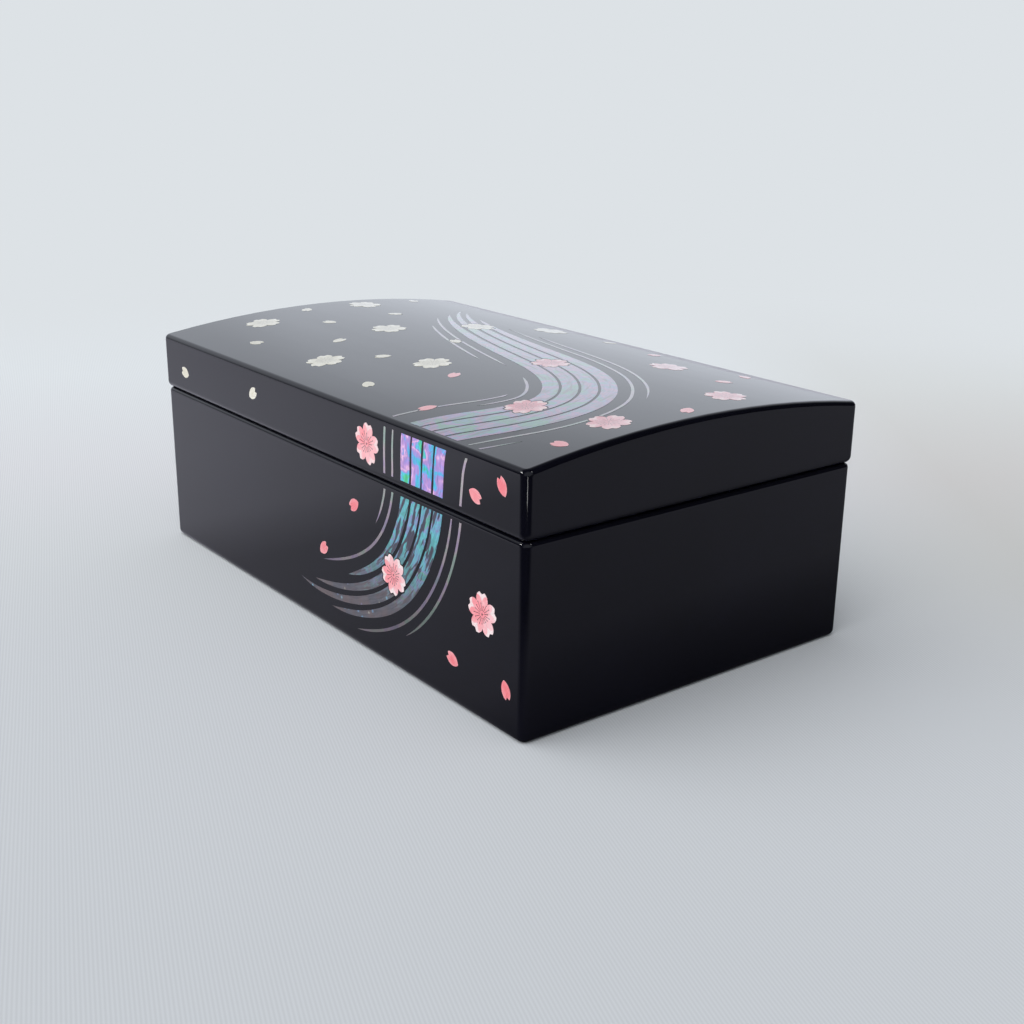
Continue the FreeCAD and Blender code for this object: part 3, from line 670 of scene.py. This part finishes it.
POLISHED_LACQUER = Lacquer("polished_black_lacquer")
SATIN_LACQUER = Lacquer("satin_black_lacquer", roughness=(0.26, 0.36), waver_mm=5.0, waver_depth_mm=0.02)
BODY_SHELL = {
    (Tint.PINK, Shape.BLOSSOMS): BlossomShell(
        "pale_pink_blossom_shell", heart="#FF9AA2", body="#FFD0D4", rim="#FFF0F0",
    ),
    (Tint.PINK, Shape.PETALS): PetalShell(
        "pink_petal_shell", heart="#FB8089", body="#FFA6AC", rim="#FFC2C6", line="#8A3840",
    ),
}
LID_FRONT_SHELL = {
    (Tint.PINK, Shape.BLOSSOMS): BlossomShell(
        "pink_blossom_shell", heart="#FF838C", body="#FFBCC0", rim="#FFE3E3",
    ),
    (Tint.PINK, Shape.PETALS): BODY_SHELL[Tint.PINK, Shape.PETALS],
    (Tint.CREAM, Shape.PETALS): PetalShell(
        "cream_petal_shell", heart="#E6DFC8", body="#F0ECDC", rim="#F8F5EA", line="#6A6252",
    ),
}
# The lid top's blossoms and petals: darker copies of the pink and cream shells, with painted shade for the
# top.
LID_TOP_SHADED_SHELL = {
    (Tint.PINK, Shape.BLOSSOMS): BlossomShell(
        "deep_pink_blossom_shell", heart="#B05961", body="#BE8B90", rim="#C6AAA8",
    ),
    (Tint.PINK, Shape.PETALS): PetalShell(
        "deep_pink_petal_shell", heart="#C66F75", body="#CA8085", rim="#CD9A9C", line="#6A3038",
    ),
    (Tint.CREAM, Shape.BLOSSOMS): BlossomShell(
        "deep_cream_blossom_shell", heart="#A8A288", body="#B8B39C", rim="#C3C0AF", line="#5A5246",
    ),
    (Tint.CREAM, Shape.PETALS): PetalShell(
        "deep_cream_petal_shell", heart="#ADA78F", body="#B8B39C", rim="#C3C0AF", line="#6A6252",
    ),
}
VIVID_ABALONE = Abalone(
    "vivid_abalone_shell", dull="#8C86C4", dull_at=(0.24, 0.40), patch_mm=7.5, patch_swirl=0.5, mottle=0.07,
    hues=(
        (0.32, "#2FC79A"), (0.38, "#38C4DE"), (0.43, "#57B4EE"), (0.465, "#A493E0"), (0.50, "#B38FDA"),
        (0.535, "#C99CDD"), (0.565, "#F3C0E6"), (0.60, "#A98CE0"), (0.64, "#3FC9EA"), (0.70, "#42CE90"),
    ),
)
STRIPED_ABALONE = FadingAbalone(
    "striped_abalone_shell", dull="#3E3E50", dull_at=(0.44, 0.50), streak_mm=(7.5, 1.4), mottle=0.10,
    hues=(
        (0.30, "#5A9FB0"), (0.40, "#5AAFAF"), (0.47, "#64BEC8"), (0.53, "#6FA8C8"),
        (0.58, "#8E8CC0"), (0.64, "#62B09C"), (0.72, "#4F9DA8"),
    ),
)
PALE_ABALONE = Abalone(
    "pale_abalone_shell", dull="#4C5058", dull_at=(0.30, 0.50), patch_mm=9.0,
    hues=(
        (0.32, "#42706C"), (0.39, "#467C61"), (0.44, "#517080"), (0.49, "#6E5F81"),
        (0.53, "#846079"), (0.57, "#705D8B"), (0.62, "#4B7389"), (0.68, "#467668"),
    ),
)
LINE_SHELL = LineShell(
    "grey_line_shell",
    hues=((0.30, "#8A93A0"), (0.42, "#A08CAE"), (0.52, "#AFA2A8"), (0.62, "#8FA79B"), (0.74, "#8E8E9C")),
)
# The lid top's ripples: a darker copy of the grey line shell, with painted shade for the top.
TOP_SHADED_LINE_SHELL = LineShell(
    "deep_line_shell",
    hues=((0.30, "#5E6572"), (0.42, "#6E5F78"), (0.52, "#776E73"), (0.62, "#61726A"), (0.74, "#60606B")),
)
KEY_WOOD = BareWood("planed_cypress")
PAD_VELVET = Velvet("crimson_velvet")
SHEET = PaleSheet("pale_sheet")


# Meshes


def select_only(*chosen: Piece) -> None:
    """Selects these objects alone, the first of them active."""
    bpy.ops.object.select_all(action="DESELECT")
    for item in chosen:
        item.select_set(True)
    bpy.context.view_layer.objects.active = chosen[0]


def dress(piece: Piece, finish: Finish) -> None:
    """Gives a piece one finish all over."""
    material = finish.material()
    if piece.data.materials:
        for slot in piece.material_slots:
            slot.material = material
    else:
        piece.data.materials.append(material)


def merged_copy(node: str) -> Piece:
    """Copies a frame node's mesh as a new piece, with its loose triangles joined and shaded by angle.

    Args:
        node: the frame node.

    Returns:
        The new piece, where the node is.
    """
    source = frame["nodes"][node]
    piece = bpy.data.objects.new(f"{node}_cut", source.data.copy())
    bpy.context.scene.collection.objects.link(piece)
    select_only(piece)
    bpy.ops.object.mode_set(mode="EDIT")
    bpy.ops.mesh.select_all(action="SELECT")
    bpy.ops.mesh.remove_doubles(threshold=0.001 * MM)
    bpy.ops.object.mode_set(mode="OBJECT")
    bpy.ops.mesh.customdata_custom_splitnormals_clear()
    bpy.ops.object.shade_smooth_by_angle(angle=math.radians(CREASE_DEG))
    return piece


def points_of(mesh: bpy.types.Mesh) -> np.ndarray:
    """Gives the mesh's vertices as rows of three numbers."""
    flat = np.empty(len(mesh.vertices) * 3)
    mesh.vertices.foreach_get("co", flat)
    return flat.reshape(-1, 3)


def islands(mesh: bpy.types.Mesh) -> Iterator[np.ndarray]:
    """Gives each separate solid of a mesh as the numbers of its vertices."""
    owner = np.arange(len(mesh.vertices))
    edges = np.array([edge.vertices[:] for edge in mesh.edges])
    changed = True
    while changed:
        least = np.minimum(owner[edges[:, 0]], owner[edges[:, 1]])
        before = owner.copy()
        np.minimum.at(owner, edges[:, 0], least)
        np.minimum.at(owner, edges[:, 1], least)
        changed = bool((owner != before).any())
    for root in np.unique(owner):
        yield np.flatnonzero(owner == root)


class Face(Enum):
    """The face that a piece of inlay lies on, with the axes that run along and up it."""

    FRONT = (0, 2)
    TOP = (0, 1)


@dataclass
class Outline:
    """One cut shape seen flat: its points, the edges round it and its middle."""

    points: np.ndarray
    members: np.ndarray
    mesh: bpy.types.Mesh
    face: Face
    facing: float = 0.9

    def outer_triangles(self) -> np.ndarray:
        """Gives the corners of the triangles that face out of the box, laid flat."""
        axes = list(self.face.value)
        normal_axis = 3 - sum(axes)
        sign = 1 if self.face is Face.TOP else -1
        own = set(self.members.tolist())
        corners = [
            polygon.vertices[:3]
            for polygon in self.mesh.polygons
            if polygon.vertices[0] in own and sign * polygon.normal[normal_axis] > self.facing
        ]
        return self.points[np.array(corners)][:, :, axes]

    def middle(self) -> np.ndarray:
        """Gives the middle of the shape's area."""
        triangles = self.outer_triangles()
        first, second = triangles[:, 1] - triangles[:, 0], triangles[:, 2] - triangles[:, 0]
        area = np.abs(first[:, 0] * second[:, 1] - first[:, 1] * second[:, 0])
        return (triangles.mean(axis=1) * area[:, None]).sum(axis=0) / area.sum()

    def flat(self) -> np.ndarray:
        """Gives the shape's own points, laid flat round its middle."""
        return self.points[self.members][:, list(self.face.value)] - self.middle()


def blossom_frame(outline: Outline, petals: int, tip_share: float = 0.7) -> np.ndarray:
    """Turns a blossom so that a petal's middle line is at bearing zero, with a radius of one.

    Args:
        outline: the blossom.
        petals: how many petals it has.
        tip_share: the share of the radius beyond which a point belongs to a petal's tip.

    Returns:
        A place for each of its points.
    """
    flat = outline.flat()
    reach, bearing = np.hypot(*flat.T), np.arctan2(flat[:, 1], flat[:, 0])
    far = reach > tip_share * reach.max()
    swing = np.sum(np.exp(1j * petals * bearing[far]))
    turn = -np.angle(swing) / petals
    spun = flat @ np.array([[math.cos(turn), math.sin(turn)], [-math.sin(turn), math.cos(turn)]])
    return spun / reach.max()


def petal_frame(outline: Outline) -> np.ndarray:
    """Turns a petal so that its foot points down, with a length of one.

    Args:
        outline: the petal.

    Returns:
        A place for each of its points.
    """
    flat = outline.flat()
    foot = flat[np.hypot(*flat.T).argmax()]
    up = -foot / np.linalg.norm(foot)
    along, across = flat @ up, flat @ np.array([up[1], -up[0]])
    return np.column_stack((across, along)) / np.ptp(along)


def flow_frame(points: np.ndarray, face: Face, bends: int = 4, steps: int = 200) -> np.ndarray:
    """Straightens a ribbon: the place along it and across it, in metres.

    Args:
        points: the ribbon's points.
        face: the face that it lies on.
        bends: the degree of the curve that stands for its middle line.
        steps: how many steps the curve is measured in.

    Returns:
        A place for each of its points.
    """
    flat = points[:, list(face.value)]
    centred = flat - flat.mean(axis=0)
    _, _, directions = np.linalg.svd(centred, full_matrices=False)
    along, across = centred @ directions[0], centred @ directions[1]
    half = np.abs(along).max()
    curve = np.polynomial.Polynomial.fit(along, across, bends)
    slope = curve.deriv()
    marks = np.linspace(-half, half, steps)
    lengths = np.concatenate(([0.0], np.cumsum(np.hypot(1, slope(marks[1:])) * np.diff(marks))))
    aside = (across - curve(along)) / np.hypot(1, slope(along))
    return np.column_stack((np.interp(along, marks, lengths), aside))


def write_map(mesh: bpy.types.Mesh, name: str, places: np.ndarray) -> None:
    """Stores a place for each vertex as a UV map.

    Args:
        mesh: the mesh that takes the map.
        name: the map's name.
        places: a row of two numbers for each vertex.
    """
    layer = mesh.uv_layers.new(name=name)
    corners = np.empty(len(mesh.loops), dtype=int)
    mesh.loops.foreach_get("vertex_index", corners)
    layer.data.foreach_set("uv", places[corners].astype(np.float32).ravel())


# Sub-assemblies


@dataclass
class Carcass:
    """The boards of the body or of the lid, which keep the frame's own meshes."""

    name: str
    satin: tuple[str, ...] = ("lip_front_strip", "lip_back_strip", "lip_left_strip", "lip_right_strip")
    wood: tuple[str, ...] = ("body_mitre_keys", "lid_mitre_keys")

    def build(self) -> list[Piece]:
        """Dresses every board, strip and key of this body.

        Returns:
            The dressed pieces.
        """
        dressed = []
        for node in frame["record"]["behaviour"]["bodies"][self.name]:
            if node in self.satin:
                finish = SATIN_LACQUER
            elif node in self.wood:
                finish = KEY_WOOD
            elif node.endswith("_board"):
                finish = POLISHED_LACQUER
            else:
                continue
            dress(frame["nodes"][node], finish)
            dressed.append(frame["nodes"][node])
        return dressed


@dataclass
class Inlay:
    """The shell let into one face: blossoms, petals, ribbons and ripples."""

    prefix: str
    body: str
    face: Face
    abalone: Abalone
    shells: dict[tuple[Tint, Shape], CutShell]
    lines: LineShell
    ribbons: int = 4
    grain_shift_mm: Pair = (61.0, 17.0)
    made: list[Piece] = field(default_factory=list)

    def keep(self, piece: Piece, node: str, finish: Finish) -> None:
        """Dresses a finished piece and gives it its place on the body.

        Args:
            piece: the new piece.
            node: the frame node that it stands for.
            finish: what it is made of.
        """
        dress(piece, finish)
        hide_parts(node)
        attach(piece, self.body)
        self.made.append(piece)

    def cut_shapes(self, node: str, finish: CutShell) -> None:
        """Copies blossoms or petals, and maps each one round its own middle.

        Args:
            node: the frame node with the shapes.
            finish: a blossom's or a petal's shell.
        """
        piece = merged_copy(node)
        mesh = piece.data
        points = points_of(mesh)
        places = np.zeros((len(points), 2))
        cutting = np.zeros(len(points))
        draw = np.random.default_rng(len(points))
        for members in islands(mesh):
            outline = Outline(points, members, mesh, self.face)
            if isinstance(finish, BlossomShell):
                places[members] = blossom_frame(outline, finish.petals)
            else:
                places[members] = petal_frame(outline)
            cutting[members] = draw.uniform(-0.5, 0.5)
        write_map(mesh, "cut", places)
        mesh.attributes.new("cutting", "FLOAT", "POINT").data.foreach_set("value", cutting)
        self.keep(piece, node, finish)

    def ribbon(self, number: int) -> None:
        """Copies a ribbon and maps it along its own flow.

        Args:
            number: which ribbon of the stream, which also shifts its grain against its neighbours'.
        """
        node = f"{self.prefix}_stream_ribbon_{number}"
        piece = merged_copy(node)
        shift = number * np.array(self.grain_shift_mm) * MM
        write_map(piece.data, "flow", flow_frame(points_of(piece.data), self.face) + shift)
        self.keep(piece, node, self.abalone)

    def build(self) -> list[Piece]:
        """Makes all the shell of this face.

        Returns:
            The new pieces.
        """
        for (tint, shape), finish in self.shells.items():
            self.cut_shapes(f"{self.prefix}_{tint.value}_{shape.value}", finish)
        for number in range(1, self.ribbons + 1):
            self.ribbon(number)
        ripples = frame["nodes"][f"{self.prefix}_ripples"]
        dress(ripples, self.lines)
        return [*self.made, ripples]


@dataclass
class FloorPad:
    """A card pad under wadding and velvet, which lies loose on the floor inside the lip."""

    grid_mm: float = 3.0
    start_share: float = 0.62
    pressure: float = 4.0
    frames: int = 16
    rise_cap_mm: float = 0.9
    fill: float = 0.7

    def build(self) -> Piece:
        """Makes the pad, lets its cover swell, and puts it on the floor board.

        Returns:
            The new pad.
        """
        low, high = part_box("floor_pad")
        pad = self.blank(low, high)
        self.swell(pad, low.z)
        self.round_off(pad)
        dress(pad, PAD_VELVET)
        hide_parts("floor_pad")
        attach(pad, BODY)
        return pad

    def blank(self, low: Vector, high: Vector) -> Piece:
        """Makes the flat closed cover from a grid, between the corners of the room for the pad."""
        size = high - low
        bpy.ops.object.select_all(action="DESELECT")
        bpy.ops.mesh.primitive_grid_add(
            x_subdivisions=round(size.x / (self.grid_mm * MM)),
            y_subdivisions=round(size.y / (self.grid_mm * MM)),
            size=1.0,
            location=(0.0, 0.0, low.z),
        )
        pad = bpy.context.active_object
        pad.name = "velvet_floor_pad"
        pad.scale = (size.x, size.y, 1.0)
        bpy.ops.object.transform_apply(location=True, rotation=True, scale=True)
        bpy.ops.object.mode_set(mode="EDIT")
        bpy.ops.mesh.select_all(action="SELECT")
        bpy.ops.mesh.extrude_region_move(
            TRANSFORM_OT_translate={"value": (0.0, 0.0, size.z * self.start_share)}
        )
        bpy.ops.mesh.select_all(action="SELECT")
        bpy.ops.mesh.normals_make_consistent(inside=False)
        bpy.ops.object.mode_set(mode="OBJECT")
        return pad

    def swell(self, pad: Piece, base: float) -> None:
        """Blows the cover up a little, with its underside at the base's height held flat by the card."""
        start = points_of(pad.data)
        held = np.flatnonzero(start[:, 2] < base + 0.01 * MM).tolist()
        group = pad.vertex_groups.new(name="card")
        group.add(held, 1.0, "REPLACE")
        cloth = pad.modifiers.new("cover", "CLOTH")
        for name, value in {
            "quality": 5, "mass": 0.15, "tension_stiffness": 15, "compression_stiffness": 15,
            "bending_stiffness": 0.5, "use_pressure": True, "uniform_pressure_force": self.pressure,
            "vertex_group_mass": group.name,
        }.items():
            setattr(cloth.settings, name, value)
        cloth.settings.effector_weights.gravity = 0.0
        scene = bpy.context.scene
        for step in range(1, self.frames + 1):
            scene.frame_set(step)
        select_only(pad)
        bpy.ops.object.modifier_apply(modifier=cloth.name)
        scene.frame_set(1)
        moved = points_of(pad.data) - start
        length = np.maximum(np.linalg.norm(moved, axis=1), 1e-9)
        limited = start + moved * np.minimum(1.0, self.rise_cap_mm * MM / length)[:, None]
        pad.data.vertices.foreach_set("co", limited.ravel())
        pad.vertex_groups.clear()

    def round_off(self, pad: Piece) -> None:
        """Smooths the cover with one level of subdivision."""
        select_only(pad)
        smooth = pad.modifiers.new("smooth", "SUBSURF")
        smooth.levels = smooth.render_levels = 1
        bpy.ops.object.modifier_apply(modifier=smooth.name)
        bpy.ops.object.shade_smooth()


# Light, floor and view


@dataclass(frozen=True)
class Lamp:
    """A lamp that stands out in a direction from a point on the box and shines back at it."""

    name: str
    direction: Triple
    distance_m: float = 1.1
    target_m: Triple = (0.0, 0.0, 0.0)

    def placed(self, kind: str) -> Piece:
        """Adds a lamp of one of Blender's kinds and points it at the box."""
        bpy.ops.object.light_add(type=kind)
        lamp = bpy.context.active_object
        lamp.name = self.name
        out = Vector(self.direction).normalized()
        lamp.location = Vector(self.target_m) + out * self.distance_m
        lamp.rotation_euler = out.to_track_quat("Z", "Y").to_euler()
        return lamp


@dataclass(frozen=True, kw_only=True)
class Glint(Lamp):
    """A small lamp that is only mirrored, for the glints on the rounded edges."""

    size_m: Pair
    watts: float

    def build(self) -> None:
        """Adds the glint's lamp."""
        lamp = self.placed("AREA")
        lamp.data.shape = "RECTANGLE"
        lamp.data.size, lamp.data.size_y = self.size_m
        lamp.data.energy = self.watts
        lamp.visible_diffuse = lamp.visible_camera = False


@dataclass(frozen=True, kw_only=True)
class Daylight(Lamp):
    """The wide daylight, which the lacquer doesn't mirror."""

    strength: float
    angle_deg: float

    def build(self) -> None:
        """Adds the daylight."""
        lamp = self.placed("SUN")
        lamp.data.energy = self.strength
        lamp.data.angle = math.radians(self.angle_deg)
        lamp.visible_glossy = False


@dataclass
class Studio:
    """A pale sheet, soft daylight from the front left, and the bright wall that the lacquer mirrors."""

    floor_size_m: float = 24.0
    backdrop: str = "#DDE2E6"
    sky_tone: str = "#F4F6F8"
    sky_level: float = 0.45
    mirror_tone: str = "#EAF0FA"
    wall_direction: Triple = (-0.75, 0.35, 0.35)
    wall_at: Pair = (0.32, 0.74)
    wall_level: float = 1.5
    wall_end_at: Pair = (0.34, 0.46)
    wall_end_level: float = 0.84
    wall_heights: Stops = (
        (0.0, 0.73), (0.08, 0.79), (0.20, 0.85), (0.28, 0.91), (0.34, 0.96),
        (0.42, 0.86), (0.50, 0.78), (0.60, 0.60), (0.70, 0.36), (0.80, 0.08),
    )
    room_direction: Triple = (0.78, -0.50, 0.30)
    room_at: Pair = (0.45, 0.85)
    room_levels: Pair = (0.03, 0.65)
    lamps: tuple[Glint | Daylight, ...] = (
        Glint("window_strip", (-0.435, -0.68, 0.55), size_m=(0.50, 0.08), watts=5.4),
        Glint("room_lamp", (0.605, 0.231, 0.761), size_m=(0.06, 0.06), watts=0.5),
        Glint(
            "edge_lamp", (0.825, -0.565, 0.0), 0.15, (0.1, -0.06, 0.020),
            size_m=(0.013, 0.012), watts=0.0045,
        ),
        Daylight("daylight", (-0.14, -0.64, 0.76), 2.0, strength=2.55, angle_deg=90.0),
    )

    def build(self) -> None:
        """Lays the floor, lights the box and sets how colours are shown."""
        self.floor()
        self.world()
        for lamp in self.lamps:
            lamp.build()
        bpy.context.scene.view_settings.view_transform = "Standard"

    def floor(self) -> None:
        """Lays the sheet that the box stands on."""
        bpy.ops.object.select_all(action="DESELECT")
        bpy.ops.mesh.primitive_plane_add(size=self.floor_size_m, location=(0.0, 0.0, 0.0))
        sheet = bpy.context.active_object
        sheet.name = "floor_sheet"
        dress(sheet, SHEET)

    def surroundings(self, tree: Tree) -> Node:
        """Makes what the lacquer mirrors: a bright wall on the left, dimmer at its end, in a dark room."""
        direction = add_node(tree, "ShaderNodeTexCoord").outputs["Generated"]
        split = add_node(tree, SPLIT, (direction,)).outputs
        height = add_node(tree, RAMP, (split["Z"],), stops=self.wall_heights)
        end = add_node(tree, RANGE, (split["Y"], *self.wall_end_at, self.wall_end_level), **SMOOTH)
        to_wall, to_room = (
            add_node(tree, VECTOR, (direction, towards), operation="DOT_PRODUCT")
            for towards in (self.wall_direction, self.room_direction)
        )
        wall = add_node(tree, RANGE, (to_wall, *self.wall_at), **SMOOTH)
        room = add_node(tree, RANGE, (to_room, *self.room_at, *self.room_levels), **SMOOTH)
        for share in (end, wall):
            height = add_node(tree, MATH, (height, share), operation="MULTIPLY")
        return add_node(tree, MATH, (height, self.wall_level, room), operation="MULTIPLY_ADD")

    def world(self) -> None:
        """Makes the sky: plain to the eye and on matt faces, with a bright wall in reflections."""
        world = bpy.data.worlds.new("studio")
        bpy.context.scene.world = world
        world.use_nodes = True
        tree = world.node_tree
        tree.nodes.clear()
        path = add_node(tree, "ShaderNodeLightPath").outputs
        soft, mirror, plain = (
            add_node(tree, "ShaderNodeBackground", (tone, level))
            for tone, level in (
                (self.sky_tone, self.sky_level),
                (self.mirror_tone, self.surroundings(tree)),
                (self.backdrop, 1.0),
            )
        )
        lit = add_node(tree, "ShaderNodeMixShader", (path["Is Glossy Ray"], soft, mirror))
        shown = add_node(tree, "ShaderNodeMixShader", (path["Is Camera Ray"], lit, plain))
        add_node(tree, "ShaderNodeOutputWorld", {"Surface": shown})


@dataclass
class Viewpoint:
    """Where the photograph was taken from, in metres and degrees."""

    place: Triple = (0.3437, -0.2529, 0.1655)
    azimuth_deg: float = 52.19
    elevation_deg: float = 18.43
    roll_rad: float = 0.012
    lens_mm: float = 48.83
    sensor_mm: float = 36.0

    def build(self) -> None:
        """Sets the camera up."""
        azimuth, elevation = math.radians(self.azimuth_deg), math.radians(self.elevation_deg)
        ahead = Vector((
            -math.sin(azimuth) * math.cos(elevation),
            math.cos(azimuth) * math.cos(elevation),
            -math.sin(elevation),
        ))
        right = Vector((math.cos(azimuth), math.sin(azimuth), 0.0))
        up = right.cross(ahead)
        tilt = Quaternion(ahead, -self.roll_rad)
        turn = Matrix((tilt @ right, tilt @ up, -ahead)).transposed()
        bpy.ops.object.camera_add()
        camera = bpy.context.active_object
        camera.name = "view"
        camera.data.lens = self.lens_mm
        camera.data.sensor_width = self.sensor_mm
        camera.matrix_world = Matrix.Translation(self.place) @ turn.to_4x4()
        bpy.context.scene.camera = camera


def main() -> None:
    """Builds the view, the studio and the box, and reports each piece."""
    logging.basicConfig(level=logging.INFO, format="%(message)s")
    Viewpoint().build()
    Studio().build()
    pieces = [*Carcass(BODY).build(), *Carcass(LID).build()]
    for inlay in (
        Inlay("body", BODY, Face.FRONT, STRIPED_ABALONE, BODY_SHELL, LINE_SHELL),
        Inlay("lid_front", LID, Face.FRONT, VIVID_ABALONE, LID_FRONT_SHELL, LINE_SHELL),
        Inlay("lid_top", LID, Face.TOP, PALE_ABALONE, LID_TOP_SHADED_SHELL, TOP_SHADED_LINE_SHELL),
    ):
        pieces += inlay.build()
    pieces.append(FloorPad().build())
    for piece in pieces:
        LOG.info("%s: %d faces", piece.name, len(piece.data.polygons))


if __name__ == "__main__":
    main()
